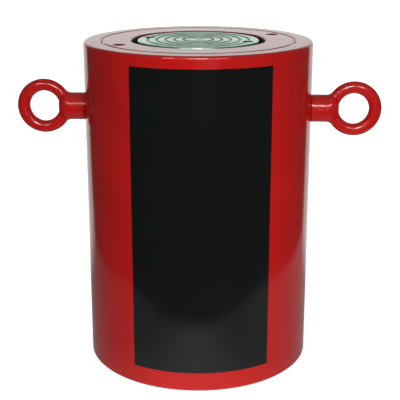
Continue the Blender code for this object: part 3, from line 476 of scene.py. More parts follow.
# %% [markdown]
# The barrel is then machined as the real one is: a flat seat and a socket for each lifting eye, a
# seat for the coupler, a vent near the stop ring and four tapped holes in the base. A Boolean with
# a turned cutter leaves the same flats and the same crisp edges as a spotfacing tool. The vertices
# round each cut would tilt the smooth normals of the long wall, so a Weighted Normal modifier
# lets the large faces decide, and the reflections stay straight.

# %% Machining the barrel
eye_low, eye_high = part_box("lifting_eye_right")
EYE_HEIGHT = (eye_low.z + eye_high.z) / 2.0
EYE_RING_OUTSIDE = (eye_high.z - eye_low.z) / 2.0
EYE_REACH = eye_high.x - EYE_RING_OUTSIDE
EYE_SEAT = BODY_RADIUS - 1.0 * MM
SIDES = {"left": -1.0, "right": 1.0}
coupler_low, coupler_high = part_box("coupler_body")
PORT_HEIGHT = (coupler_low.z + coupler_high.z) / 2.0
PORT_SEAT = BODY_RADIUS - 2.5 * MM
OVERRUN = 3.0 * MM
BASE_HOLE_CIRCLE = 75.0 * MM


def seat_cutter(hole, foot, face, seat):
    """A socket's outline with a wider flat seat above it, both running out through the wall."""
    out = BODY_RADIUS + OVERRUN
    return [(0.0, foot), (hole, foot), (hole, seat), (face, seat), (face, out), (0.0, out)]


tools = []
for sign in SIDES.values():
    socket = seat_cutter(10.3 * MM, EYE_SEAT - 17.0 * MM, 13.2 * MM, EYE_SEAT)
    tools.append(turned("eye_seat_tool", socket, segments=SMALL, place=to_the_side(sign, EYE_HEIGHT)))
port = seat_cutter(8.6 * MM, PORT_SEAT - 18.0 * MM, 19.0 * MM, PORT_SEAT)
tools.append(turned("port_tool", port, segments=MEDIUM, place=to_the_back(PORT_HEIGHT)))
vent_place = to_the_back(shoulder - 6.0 * MM)
tools.append(drill("vent_tool", 2.0 * MM, BORE_RADIUS - OVERRUN, BODY_RADIUS + OVERRUN, vent_place, 24))
for index in range(4):
    place = off_axis(45.0 + 90.0 * index, BASE_HOLE_CIRCLE)
    tools.append(drill("base_hole_tool", 5.1 * MM, -OVERRUN, 22.0 * MM, place, 32))
machine(barrel, *tools)
print("barrel now has", len(barrel.data.polygons), "faces after", len(tools), "cuts")

# %% [markdown]
# The stop ring screws into the mouth of the barrel and keeps the piston in. It is painted with the
# barrel, so what shows is a thin line where the two meet, and two holes for the pins of a spanner.
# The line is modelled, as two chamfered edges with the real gap between them, because a drawn line
# would not darken as the view tilts. The opening is bare steel, given a dark reddish finish that is
# painted shade of the deep gap round the saddle.

# %% Stop ring
OPENING = 60.0 * MM
WIPER_TOP = 9.5 * MM
WIPER_SEAT = 63.2 * MM
GLAND_RADIUS = 57.75 * MM
PIN_RADIUS = 5.35 * MM
PIN_CIRCLE = 76.7 * MM
BAND_SEAT = 60.25 * MM
O_RING_FLOOR = 83.15 * MM

ring_outline = softened([
    (OPENING + 1.0 * MM, TOP, 0.5 * MM),
    (OPENING, TOP - 1.0 * MM, 0.5 * MM),
    (OPENING, TOP - WIPER_TOP + GAP, 0.2 * MM),
    (WIPER_SEAT, TOP - WIPER_TOP + GAP, 0.2 * MM),
    (WIPER_SEAT, TOP - 16.0 * MM, 0.2 * MM),
    (GLAND_RADIUS, TOP - 16.0 * MM, 0.2 * MM),
    *groove(GLAND_RADIUS, BAND_SEAT, TOP - 21.7 * MM, TOP - 34.3 * MM, 0.1 * MM),
    (GLAND_RADIUS, RING_FOOT + 3.0 * MM, 0.5 * MM),
    (GLAND_RADIUS + 3.0 * MM, RING_FOOT, 0.5 * MM),
    (RING_RADIUS - 1.5 * MM, RING_FOOT, 0.4 * MM),
    (RING_RADIUS, RING_FOOT + 1.5 * MM, 0.4 * MM),
    *groove(RING_RADIUS, O_RING_FLOOR, TOP - 37.3 * MM, TOP - 33.7 * MM, 0.1 * MM),
    (RING_RADIUS, TOP - SEAM, 0.2 * MM),
    (RING_RADIUS - SEAM, TOP, 0.4 * MM),
], ring=True)
stop_ring = turned("stop_ring_painted", ring_outline, red_enamel, "root", FINE, ring=True)
pins = []
for degrees in (30.0, 210.0):
    place = off_axis(degrees, PIN_CIRCLE, TOP)
    pins.append(drill("pin_hole_tool", PIN_RADIUS, -10.0 * MM, 0.0, place, lead=0.4 * MM))
machine(stop_ring, *pins)
# The opening's faces get the dark finish: painted shade of the gap round the saddle.
refinish(stop_ring, gap_shaded, lambda spot: spot.to_2d().length < OPENING + 0.05 * MM)
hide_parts("stop_ring")
print("stop ring", round(2 * RING_RADIUS / MM, 1), "mm across, with", len(pins), "pin holes")

# %% [markdown]
# Below the ring's opening sits a polyurethane wiper, whose thin lip leans on the rod and keeps dirt
# out. From above it is the dark band between the red ring and the saddle. It is turned with its lip
# as a real wedge, since the plunger slides past it and leaves it in full view.

# %% Wiper
wiper_outline = softened([
    (GLAND_RADIUS + GAP, TOP - 15.7 * MM, 0.2 * MM),
    (WIPER_SEAT - GAP, TOP - 15.7 * MM, 0.4 * MM),
    (WIPER_SEAT - GAP, TOP - WIPER_TOP, 0.4 * MM),
    (OPENING - GAP, TOP - WIPER_TOP, 0.2 * MM),
    (OPENING - 2.0 * GAP, TOP - WIPER_TOP + 0.8 * MM, 0.2 * MM),
    (ROD_RADIUS + GAP, TOP - WIPER_TOP + 1.6 * MM, 0.2 * MM),
], ring=True)
wiper = turned("wiper_lip", wiper_outline, polyurethane, "root", FINE, ring=True)
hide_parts("rod_wiper")
print("wiper stands", WIPER_TOP / MM, "mm below the top")

# %% [markdown]
# The plunger is rod and piston in one. At rest only a dark sliver of it shows, but when it rises by
# its stroke the chromed rod is the brightest thing in the picture, so its facets have to vanish:
# a mirror shows every flat. The piston below keeps its turned steel, which is a second material on
# the faces under the shoulder.

# %% Plunger
plunger_low, plunger_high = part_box("plunger")
PISTON_RADIUS = plunger_high.x
PISTON_TOP = plunger_low.z + 50.0 * MM
ROD_TOP = plunger_high.z
SPIGOT_RADIUS = 52.0 * MM
BAND_FLOOR = 76.9 * MM
SEAL_FLOOR = 71.9 * MM
grooves = []
for depth, foot, head in ((BAND_FLOOR, 6.7, 15.3), (SEAL_FLOOR, 18.2, 32.5), (BAND_FLOOR, 36.7, 45.3)):
    start, end = (plunger_low.z + height * MM for height in (foot, head))
    grooves += groove(PISTON_RADIUS, depth, start, end, 0.2 * MM)

plunger_outline = softened([
    (0.0, plunger_low.z, 0.0),
    (PISTON_RADIUS - 4.0 * MM, plunger_low.z, 0.6 * MM),
    (PISTON_RADIUS, plunger_low.z + 4.0 * MM, 0.6 * MM),
    *grooves,
    (PISTON_RADIUS, PISTON_TOP - 1.0 * MM, 0.3 * MM),
    (PISTON_RADIUS - 1.0 * MM, PISTON_TOP, 0.3 * MM),
    (ROD_RADIUS, PISTON_TOP, 2.0 * MM),
    (ROD_RADIUS, ROD_TOP - 1.0 * MM, 0.4 * MM),
    (ROD_RADIUS - 1.0 * MM, ROD_TOP, 0.4 * MM),
    (SPIGOT_RADIUS + GAP, ROD_TOP, 0.2 * MM),
    (SPIGOT_RADIUS + GAP, ROD_TOP - 8.3 * MM, 0.2 * MM),
    (0.0, ROD_TOP - 8.3 * MM, 0.0),
])
plunger = turned("chromed_plunger", plunger_outline, hard_chrome, "plunger", FINE)
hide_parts("plunger")

SCREW_CIRCLE = 46.0 * MM
SCREW_ANGLES = {"right": -15.0, "left": 165.0}
SCREW_TOP = TOP - 0.7 * MM
SCREW_HOLE = 2.8 * MM
SCREW_FLOOR = -23.0 * MM


def over_screw(degrees):
    """The place of a saddle screw, with its head's top face at height 0."""
    return off_axis(degrees, SCREW_CIRCLE, SCREW_TOP)


machine(plunger, *[drill("screw_hole_tool", SCREW_HOLE, SCREW_FLOOR, 0.0, over_screw(degrees), 24)
                   for degrees in SCREW_ANGLES.values()])
refinish(plunger, piston_steel, lambda spot: spot.z < PISTON_TOP - 0.1 * MM)
print("rod", round(2 * ROD_RADIUS / MM, 1), "mm, piston", round(2 * PISTON_RADIUS / MM, 1), "mm")

# %% [markdown]
# The saddle spreads the load over the plunger. Its five V grooves grip the load and drain oil. They
# are cut into the profile itself, with their edges softened by the plating, so that each groove
# shades from light to dark across its flanks as the photograph shows. They are a little wider than
# in the solid, and their faces get a darker finish, which is painted shade in the grooves. Two cap
# screws hold the saddle, in counterbores that get the same painted shade.

# %% Saddle
saddle_low, saddle_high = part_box("saddle")
SADDLE_RADIUS = saddle_high.x
GROOVES = [(13.4 + 8.0 * index) * MM for index in range(5)]
GROOVE_HALF = 1.35 * MM
GROOVE_DEPTH = 1.2 * MM
COUNTERBORE = 4.6 * MM
COUNTERBORE_EDGE = 5.2 * MM

rings = []
for radius in reversed(GROOVES):
    rings += [(radius + GROOVE_HALF, TOP, 0.25 * MM), (radius, TOP - GROOVE_DEPTH, 0.3 * MM),
              (radius - GROOVE_HALF, TOP, 0.25 * MM)]
saddle_outline = softened([
    (0.0, saddle_low.z, 0.0),
    (SPIGOT_RADIUS - 0.8 * MM, saddle_low.z, 0.2 * MM),
    (SPIGOT_RADIUS, saddle_low.z + 0.8 * MM, 0.2 * MM),
    (SPIGOT_RADIUS, TOP - 6.0 * MM, 0.2 * MM),
    (SADDLE_RADIUS, TOP - 6.0 * MM, 0.3 * MM),
    (SADDLE_RADIUS, TOP, 1.0 * MM),
    *rings,
    (0.0, TOP, 0.0),
])
saddle = turned("grooved_saddle", saddle_outline, saddle_zinc, "plunger", FINE)
bore = [(0.0, SCREW_FLOOR), (SCREW_HOLE, SCREW_FLOOR), (SCREW_HOLE, -5.3 * MM), (COUNTERBORE, -5.3 * MM),
        (COUNTERBORE, 0.4 * MM), (COUNTERBORE_EDGE, 1.0 * MM), (0.0, 1.0 * MM)]
places = [over_screw(degrees) for degrees in SCREW_ANGLES.values()]
machine(saddle, *[turned("counterbore_tool", bore, segments=SMALL, place=place) for place in places])


def in_painted_shade(spot):
    """Whether a face of the saddle lies in a groove or a counterbore, which get painted shade."""
    from_screw = min((spot - place.translation).to_2d().length for place in places)
    if from_screw < COUNTERBORE_EDGE - 0.05 * MM:
        return spot.z < TOP - 0.02 * MM
    in_grooves = spot.to_2d().length < GROOVES[-1] + GROOVE_HALF
    return in_grooves and TOP - GROOVE_DEPTH < spot.z < TOP - 0.05 * MM


# The grooves and counterbores get the darker finish: painted shade in these hollows.
refinish(saddle, painted_groove_shade, in_painted_shade)
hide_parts("saddle")
print("saddle", round(2 * SADDLE_RADIUS / MM, 1), "mm across with", len(GROOVES), "grooves")

# %% [markdown]
# The two screws are socket head cap screws, sunk 0.7 mm. The head's rim is rounded and its hexagon
# is a six sided drill: the same turning function with six facets.

# %% Saddle screws
for side, degrees in SCREW_ANGLES.items():
    head = softened([
        (0.0, -21.0 * MM, 0.0),
        (1.8 * MM, -21.0 * MM, 0.0),
        (2.5 * MM, -20.3 * MM, 0.0),
        (2.5 * MM, -5.0 * MM, 0.2 * MM),
        (4.3 * MM, -5.0 * MM, 0.2 * MM),
        (4.3 * MM, 0.0, 0.5 * MM),
        (0.0, 0.0, 0.0),
    ])
    screw = turned(f"cap_screw_{side}", head, black_oxide, "plunger", SMALL, over_screw(degrees))
    machine(screw, drill("hexagon_tool", 2.3 * MM, -2.5 * MM, 0.5 * MM, over_screw(degrees), 6))
    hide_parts(f"saddle_screw_{side}")
print("screws on a circle of", 2 * SCREW_CIRCLE / MM, "mm")

# %% [markdown]
# A lifting eye is a forging: a bar bent to a ring that runs into a thick neck without a seam. A
# ring and a neck joined by a Boolean would meet in a crease. So both are joined as one volume by a
# voxel remesh, whose cells are 0.45 mm, and a few rounds of smoothing melt the crease into the
# fillet that a forging die leaves and enamel fills further. The bar is a little thicker at the far
# side of the ring, where the metal gathered in the die.

# %% Lifting eyes
BAR_RADIUS = 5.5 * MM
BOW_EXTRA = 0.35 * MM
RING_MIDDLE = EYE_RING_OUTSIDE - BAR_RADIUS
NECK_RADIUS = 12.5 * MM
SHANK_RADIUS = 10.0 * MM
FILLET = 6.5 * MM
END_DISTANCE = RING_MIDDLE - BAR_RADIUS + 0.2 * MM
END_HEIGHT = 9.0 * MM
END_THICKNESS = 7.8 * MM
VOXEL = 0.45 * MM
EDGE = 0.8 * MM
FILLET_STEPS = 10
RING_STEPS = 128
BAR_STEPS = 32


def neck_loops():
    """Loops along the neck as (distance from the ring's centre, height, thickness)."""
    seat = EYE_REACH - EYE_SEAT - GAP
    reach = EYE_RING_OUTSIDE + FILLET
    rise = NECK_RADIUS + FILLET
    tangent = math.sqrt(reach**2 - rise**2)
    last = math.atan2(tangent, rise)
    loops = [(seat, NECK_RADIUS - EDGE, NECK_RADIUS - EDGE), (seat - EDGE, NECK_RADIUS, NECK_RADIUS)]
    for step in range(FILLET_STEPS):
        angle = last * step / FILLET_STEPS
        distance = tangent - FILLET * math.sin(angle)
        share = (tangent - distance) / (tangent - END_DISTANCE)
        thin = (NECK_RADIUS - END_THICKNESS) * share**2
        loops.append((distance, rise - FILLET * math.cos(angle), NECK_RADIUS - thin))
    middle = (loops[-1][0] + END_DISTANCE) / 2.0
    loops.append((middle, NECK_RADIUS, (loops[-1][2] + END_THICKNESS) / 2.0))
    loops.append((END_DISTANCE + EDGE, END_HEIGHT + EDGE, END_THICKNESS))
    loops.append((END_DISTANCE, END_HEIGHT, END_THICKNESS - EDGE))
    return loops


def skin(bm, pairs):
    """Faces between the two loops of each pair."""
    for first, second in pairs:
        for here in range(len(first)):
            after = (here + 1) % len(first)
            bm.faces.new((first[here], first[after], second[after], second[here]))


def forged_eye():
    """Ring and neck as two closed shells in one mesh, about the ring's centre, with the body at -X."""
    bm = bmesh.new()
    torus = []
    for x, z in circle(RING_STEPS):
        bar = BAR_RADIUS + BOW_EXTRA * max(0.0, x)
        middle = EYE_RING_OUTSIDE - bar
        torus.append([
            bm.verts.new(Vector((x, 0.0, z)) * (middle + bar * out) + Vector((0.0, bar * aside, 0.0)))
            for out, aside in circle(BAR_STEPS)])
    skin(bm, zip(torus, torus[1:] + torus[:1]))
    loops = [[bm.verts.new((-distance, thick * y, tall * z)) for y, z in circle(SMALL)]
             for distance, tall, thick in neck_loops()]
    skin(bm, zip(loops, loops[1:]))
    bm.faces.new(loops[0])
    bm.faces.new(loops[-1])
    return bm


for side, sign in SIDES.items():
    facing = Matrix.Rotation(0.0 if sign > 0.0 else math.pi, 4, "Z")
    place = Matrix.Translation((sign * EYE_REACH, 0.0, EYE_HEIGHT)) @ facing
    eye = piece(f"forged_eye_{side}", forged_eye(), eye_enamel, "root", place)
    fused = eye.modifiers.new("one_skin", "REMESH")
    fused.mode = "VOXEL"
    fused.voxel_size = VOXEL
    melt = eye.modifiers.new("melt", "SMOOTH")
    melt.factor = 0.5
    melt.iterations = 10
    settle(eye)
    eye.data.materials.clear()
    eye.data.materials.append(eye_enamel)
    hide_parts(f"lifting_eye_{side}")
    print(eye.name, "has", len(eye.data.polygons), "faces")

# %% [markdown]
# The shank that screws into the barrel is hidden, but it is part of the forging, and the exported
# model is looked at from inside as well. It is turned with a real thread: the wall moves in and out
# with the angle and the height, so one turn of the pattern climbs by one pitch.


# %% A helical thread, and the eyes' shanks
def thread(pitch, depth, foot, end):
    """A press for turned(): a rounded V thread between two heights, fading out at both ends."""
    def press(radius, angle, height):
        fade = min(1.0, max(0.0, min(height - foot, end - height) / pitch))
        wave = 0.5 - 0.5 * math.cos(math.tau * (height / pitch - angle / math.tau))
        return depth * wave * fade
    return press


def stacked(radius, foot, end, step):
    """Points up a plain wall, close enough together to carry a thread."""
    count = max(2, round((end - foot) / step))
    return [(radius, foot + (end - foot) * index / count) for index in range(count + 1)]


SHANK_LENGTH = 15.0 * MM
EYE_PITCH = 2.5 * MM
for side, sign in SIDES.items():
    foot = EYE_SEAT + GAP - SHANK_LENGTH
    wall = stacked(SHANK_RADIUS, foot + 1.5 * MM, EYE_SEAT + GAP, EYE_PITCH / 8.0)
    outline = [(0.0, foot), (SHANK_RADIUS - 1.5 * MM, foot), *wall, (0.0, EYE_SEAT + GAP)]
    cut = thread(EYE_PITCH, 1.2 * MM, foot + 1.5 * MM, EYE_SEAT)

    def only_wall(radius, angle, height, cut=cut):
        return cut(radius, angle, height) if radius > SHANK_RADIUS - ON_AXIS else 0.0

    aim = to_the_side(sign, EYE_HEIGHT)
    shank = turned(f"eye_shank_{side}", outline, red_enamel, "root", SMALL, aim, press=only_wall)
print("shanks", SHANK_LENGTH / MM, "mm long, pitch", EYE_PITCH / MM, "mm")

# %% [markdown]
# The film covers 70 degrees of the front, from 18 mm above the base to 10 mm below the top. It is a
# thin curved sheet with real edges, a tenth of a millimetre proud of the paint. A black area in
# the paint's own material would be cheaper, but it would have no edge, and the edge catches light.

# %% Label film
FILM_MIDDLE = math.radians(4.45)
FILM_HALF = math.radians(35.2)
FILM_FOOT = 18.0 * MM
FILM_TOP = 285.6 * MM
FILM_STAND = 0.03 * MM
FILM_THICKNESS = 0.12 * MM
FILM_COLUMNS = 72
FILM_ROWS = 24

bm = bmesh.new()
sheets = []
for radius in (BODY_RADIUS + FILM_STAND, BODY_RADIUS + FILM_STAND + FILM_THICKNESS):
    sheet = []
    for row in range(FILM_ROWS + 1):
        height = FILM_FOOT + (FILM_TOP - FILM_FOOT) * row / FILM_ROWS
        line = []
        for column in range(FILM_COLUMNS + 1):
            angle = FILM_MIDDLE + FILM_HALF * (2.0 * column / FILM_COLUMNS - 1.0)
            line.append(bm.verts.new((radius * math.sin(angle), -radius * math.cos(angle), height)))
        sheet.append(line)
    sheets.append(sheet)
for sheet in sheets:
    for low, high in zip(sheet, sheet[1:]):
        for column in range(FILM_COLUMNS):
            bm.faces.new((low[column], low[column + 1], high[column + 1], high[column]))


def border(sheet):
    """The film's edge as one closed line of points."""
    right = [line[-1] for line in sheet]
    left = [line[0] for line in sheet]
    return sheet[0][:-1] + right[:-1] + sheet[-1][:0:-1] + left[:0:-1]


skin(bm, [[border(sheet) for sheet in sheets]])
film = piece("label_film", bm, black_vinyl, "root")
film_width, film_height = 2.0 * FILM_HALF * BODY_RADIUS, FILM_TOP - FILM_FOOT
print("film", round(film_width / MM), "mm wide and", round(film_height / MM), "mm high")

# %% [markdown]
# The quick coupler's male half screws into the port at the back. Its body is turned from hexagon
# bar, so the hexagon's corners are cut by a cone at both ends: the hexagon is met with a turned
# double cone and only what is in both stays. The nose has a fine thread for the hose's collar.

# %% Coupler body
CORNER = 17.3 * MM
HEX_LENGTH = 13.0 * MM
NOSE_RADIUS = 13.25 * MM
NOSE_FOOT = GAP + HEX_LENGTH
NOSE_END = NOSE_FOOT + 23.0 * MM
NOSE_PITCH = 1.41 * MM
MOUTH_RADIUS = 9.5 * MM
CHAMBER = 6.2 * MM
SHANK_WALL = 8.3 * MM
SHANK_END = GAP - 16.0 * MM
THREAD_FOOT = NOSE_FOOT + 3.3 * MM
THREAD_END = NOSE_END - 1.2 * MM
coupler_place = to_the_back(PORT_HEIGHT, PORT_SEAT)

coupler_outline = [
    (CHAMBER, SHANK_END),
    (SHANK_WALL - 0.8 * MM, SHANK_END),
    *stacked(SHANK_WALL, SHANK_END + 0.8 * MM, GAP, NOSE_PITCH / 8.0),
    (SHANK_WALL, GAP + 6.0 * MM),
    (12.45 * MM, GAP + 6.0 * MM),
    (12.45 * MM, NOSE_FOOT + 2.5 * MM),
    *stacked(NOSE_RADIUS, THREAD_FOOT, THREAD_END, NOSE_PITCH / 8.0),
    (NOSE_RADIUS - 1.2 * MM, NOSE_END),
    (MOUTH_RADIUS + 0.8 * MM, NOSE_END),
    (MOUTH_RADIUS, NOSE_END - 0.8 * MM),
    (MOUTH_RADIUS, NOSE_END - 6.7 * MM),
    (11.1 * MM, NOSE_END - 6.7 * MM),
    (11.1 * MM, NOSE_END - 9.3 * MM),
    (MOUTH_RADIUS, NOSE_END - 9.3 * MM),
    (MOUTH_RADIUS, NOSE_END - 16.0 * MM),
    (4.4 * MM, NOSE_END - 16.0 * MM),
    (4.4 * MM, NOSE_END - 18.0 * MM),
    (CHAMBER, NOSE_END - 19.8 * MM),
    (CHAMBER, GAP - 12.05 * MM),
    (7.0 * MM, GAP - 12.05 * MM),
    (7.0 * MM, GAP - 14.0 * MM),
    (CHAMBER, GAP - 14.0 * MM),
]
nose_thread = thread(NOSE_PITCH, 0.7 * MM, THREAD_FOOT, THREAD_END)
port_thread = thread(NOSE_PITCH, 0.7 * MM, SHANK_END + 0.8 * MM, GAP - 1.0 * MM)


def coupler_threads(radius, angle, height):
    """The nose's thread and the shank's, on their own walls only."""
    if abs(radius - NOSE_RADIUS) < ON_AXIS:
        return nose_thread(radius, angle, height)
    if abs(radius - SHANK_WALL) < ON_AXIS and height < GAP:
        return port_thread(radius, angle, height)
    return 0.0


coupler = turned("coupler_nose", coupler_outline, coupler_zinc, "root", 72, coupler_place,
                 ring=True, press=coupler_threads)
hexagon = [(0.0, GAP), (CORNER, GAP), (CORNER, NOSE_FOOT), (0.0, NOSE_FOOT)]
bar = turned("coupler_hexagon", hexagon, coupler_zinc, None, 6, coupler_place)
flat = CORNER * math.cos(math.pi / 6.0)
under, over = GAP - 1.0 * MM, NOSE_FOOT + 1.0 * MM
cone = [
    (0.0, under),
    (flat - 1.5 * MM, under),
    (CORNER + 0.2 * MM, GAP + 1.6 * MM),
    (CORNER + 0.2 * MM, NOSE_FOOT - 1.6 * MM),
    (flat - 1.5 * MM, over),
    (0.0, over),
]
machine(bar, turned("cone_tool", cone, segments=MEDIUM, place=coupler_place), operation="INTERSECT")
bar_bore = [(0.0, under), (7.9 * MM, under), (7.9 * MM, GAP + 6.2 * MM),
            (12.0 * MM, GAP + 6.2 * MM), (12.0 * MM, over), (0.0, over)]
machine(bar, turned("bar_bore_tool", bar_bore, segments=72, place=coupler_place))
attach(bar, "root")
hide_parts("coupler_body")
print("coupler hexagon", round(2 * flat / MM, 1), "mm across flats")

# %% [markdown]
# Inside the mouth a poppet closes the oil way. It is turned, with three flutes that let the oil
# past, and a spring pushes it home. The spring's wire is drawn as a curve with a round bevel, along
# a helix, and made into a mesh.
# Both are finer than the solids they replace.

# %% Poppet and spring
HEAD = CHAMBER - 0.4 * MM
CONE_SUM = NOSE_END - 19.8 * MM + CHAMBER - GAP * math.sqrt(2.0)
HEAD_TOP = CONE_SUM - HEAD
HEAD_FOOT = HEAD_TOP - 10.5 * MM
TIP = NOSE_END - 18.0 * MM + 8.0 * MM
poppet_outline = softened([
    (0.0, HEAD_FOOT - 6.5 * MM, 0.0),
    (2.2 * MM, HEAD_FOOT - 6.5 * MM, 0.4 * MM),
    (2.2 * MM, HEAD_FOOT, 0.3 * MM),
    (HEAD, HEAD_FOOT, 0.3 * MM),
    (HEAD, HEAD_TOP, 0.2 * MM),
    (3.6 * MM, CONE_SUM - 3.6 * MM, 0.4 * MM),
    (3.6 * MM, TIP, 1.0 * MM),
    (0.0, TIP, 0.0),
])
poppet = turned("fluted_poppet", poppet_outline, coupler_zinc, "poppet", SMALL, coupler_place)
flutes = []
for degrees in (0.0, 120.0, 240.0):
    place = coupler_place @ off_axis(degrees, HEAD)
    flutes.append(drill("flute_tool", 1.4 * MM, HEAD_FOOT - 1.0 * MM, HEAD_TOP, place, 24))
machine(poppet, *flutes)
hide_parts("coupler_poppet")

WIRE = 0.6 * MM
COIL_RADIUS = 4.2 * MM
TURNS = 4.5
coil_foot = GAP - 13.7 * MM + 1.2 * MM + GAP + 2.0 * MM + GAP + WIRE
coil_head = HEAD_FOOT - GAP - WIRE
path = bpy.data.curves.new("valve_spring", "CURVE")
path.dimensions = "3D"
path.bevel_depth = WIRE
path.bevel_resolution = 3
path.use_fill_caps = True
spline = path.splines.new("POLY")
COIL_STEPS = 160
spline.points.add(COIL_STEPS)
for index, point in enumerate(spline.points):
    share = index / COIL_STEPS
    angle = math.tau * TURNS * share
    spot = Vector((COIL_RADIUS * math.cos(angle), COIL_RADIUS * math.sin(angle),
                   coil_foot + (coil_head - coil_foot) * share))
    point.co = (*(coupler_place @ spot), 1.0)
path.materials.append(drawn_wire)
wire = shown("wire_path", path)
bpy.context.view_layer.update()
spring = shown("valve_spring", bpy.data.meshes.new_from_object(wire))
bpy.data.objects.remove(wire)
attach(spring, "root")
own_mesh(spring)
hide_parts("coupler_spring")
print("spring", TURNS, "turns over", round((coil_head - coil_foot) / MM, 1), "mm")

# %% [markdown]
# The dust cap is a moulded plug cap with grip flutes. The flutes are pressed into its wall by the
# same turning function, and fade out below the rounded crown as the mould's do. Its end carries a
# shallow dish, which keeps a flat moulding from sinking.

# %% Dust cap
CAP_INNER = NOSE_RADIUS + GAP
CAP_OUTER = CAP_INNER + 2.6 * MM
CAP_FLOOR = 23.0 * MM + GAP
CAP_END = CAP_FLOOR + 3.0 * MM
FLUTES = 18
CAP_ROUND = 1.6 * MM
cap_place = to_the_back(PORT_HEIGHT, PORT_SEAT + NOSE_FOOT)


def grip(radius, angle, height):
    """Flutes on the outer wall, fading towards the crown and the foot."""
    if radius < CAP_OUTER - 0.05 * MM:
        return 0.0
    fade = min(1.0, max(0.0, min(height - 1.5 * MM, CAP_END - 2.5 * MM - height) / (1.5 * MM)))
    return 0.6 * MM * fade * abs(math.sin(FLUTES * angle / 2.0)) ** 3


cap_outline = [
    (CAP_INNER, GAP),
    (CAP_OUTER - 0.4 * MM, GAP),
    *stacked(CAP_OUTER, GAP + 0.4 * MM, CAP_END - CAP_ROUND, 0.6 * MM),
    *[(CAP_OUTER - CAP_ROUND + CAP_ROUND * math.cos(a), CAP_END - CAP_ROUND + CAP_ROUND * math.sin(a))
      for a in (math.radians(15.0 * step) for step in range(1, 7))],
    (CAP_OUTER - 4.0 * MM, CAP_END),
    (CAP_OUTER - 4.5 * MM, CAP_END - 0.5 * MM),
    (0.0, CAP_END - 0.5 * MM),
    (0.0, CAP_FLOOR),
    (CAP_INNER - 0.5 * MM, CAP_FLOOR),
    (CAP_INNER, CAP_FLOOR - 0.5 * MM),
]
cap = turned("fluted_dust_cap", cap_outline, cap_plastic, "dust_cap", 12 * FLUTES, cap_place,
             ring=True, press=grip)
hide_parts("dust_cap")
print("cap", round(2 * CAP_OUTER / MM, 1), "mm across with", FLUTES, "flutes")

# %% [markdown]
# The seals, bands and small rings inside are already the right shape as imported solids. Only their
# finish changes: the material in each solid's slot is swapped for one of the finishes above. None
# of them shows in the picture, but a reader who lifts the stop ring out finds them finished.

# %% Finishes for the pieces inside
INSIDE = {
    "gland_guide_ring": bearing_band,
    "piston_guide_ring_lower": bearing_band,
    "piston_guide_ring_upper": bearing_band,
    "stop_ring_o_ring": nitrile,
    "piston_seal": nitrile,
    "coupler_mouth_seal": nitrile,
    "seal_backup_ring": nylon,
    "coupler_spring_seat": turned_brass,
    "coupler_snap_ring": drawn_wire,
}
for name, material in INSIDE.items():
    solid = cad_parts[name]
    solid.data.materials.clear()
    solid.data.materials.append(material)
print("dressed", len(INSIDE), "solids that stay as they are")

# %% [markdown]
# A gloss surface is only as good as what it mirrors, so the studio is part of the material. The
# camera looks down, so the wall of the cylinder never sees the lamps: it mirrors the floor. Near
# the object that floor is a dim sheet, a little lighter to the right and in a pool in front, whose
# front edge gives the curved line low on the wall. Behind the object a white wedge opens, set a
# little to the left, which makes the pale bands at both sides. All the rest is nearly dark, which
# keeps the red deep. To the camera the floor is white all over, and near the object it takes some
# of its light from the lamps, so it keeps a shadow.

# %% Floor
FLOOR_HALF = 8.0
FLOOR_DROP = 0.2 * MM
SHEET_HALF_WIDTH = 0.35
SHEET_HALF_DEPTH = 0.36
SHEET_MIDDLE = 0.12
SHEET_GLOW = 0.28
RIGHT_GLOW = 0.07
POOL_GLOW = 0.31
POOL_REACH = 0.13
POOL_EDGE = 0.08
BACK_SLOPE = math.tan(math.radians(90.0 - 34.5))
WEDGE_SHIFT = 0.26
WEDGE_ASIDE = 0.025
WEDGE_TURN = 0.045
WEDGE_SOFT = 0.06
WEDGE_STARTS = (0.05, 0.32)
BACK_GLOW = 0.9
DIM_GLOW = 0.07
SEEN_GLOW = 1.40
SHADOW_SHARE = 0.35
SHADOW_REACH = 0.30


def ramp(tree, value, off, on):
    """0 on the far side of off, 1 on the far side of on, and a soft step between the two."""
    inputs = {"Value": value, "From Min": off, "From Max": on}
    return add(tree, "ShaderNodeMapRange", inputs, interpolation_type="SMOOTHSTEP").outputs["Result"]


def maths(tree, operation, *values):
    """One sum, with each value a number or a socket."""
    return add(tree, "ShaderNodeMath", dict(enumerate(values)), operation=operation).outputs[0]


def behind(tree, sideways, back, soft):
    """1 in the wedge behind the object, as seen from above, and 0 elsewhere."""
    slope = maths(tree, "MULTIPLY", maths(tree, "ABSOLUTE", sideways), BACK_SLOPE)
    return ramp(tree, maths(tree, "SUBTRACT", back, slope), -soft, soft)


def mixed_light(tree, share, first, second):
    """The first light where the share is 0, and the second where it is 1."""
    return add(tree, "ShaderNodeMixShader", {0: share, 1: first, 2: second}).outputs[0]


bm = bmesh.new()
bmesh.ops.create_grid(bm, x_segments=1, y_segments=1, size=FLOOR_HALF)
mesh = bpy.data.meshes.new("studio_floor")
bm.to_mesh(mesh)
bm.free()
floor = shown("studio_floor", mesh)
floor.location = (0.0, 0.0, -FLOOR_DROP)

paper = bpy.data.materials.new("studio_paper")
paper.use_nodes = True
tree = paper.node_tree
tree.nodes.remove(tree.nodes["Principled BSDF"])
spot = add(tree, "ShaderNodeSeparateXYZ", {"Vector": add(tree, "ShaderNodeNewGeometry").outputs["Position"]})
across, deep = spot.outputs["X"], spot.outputs["Y"]

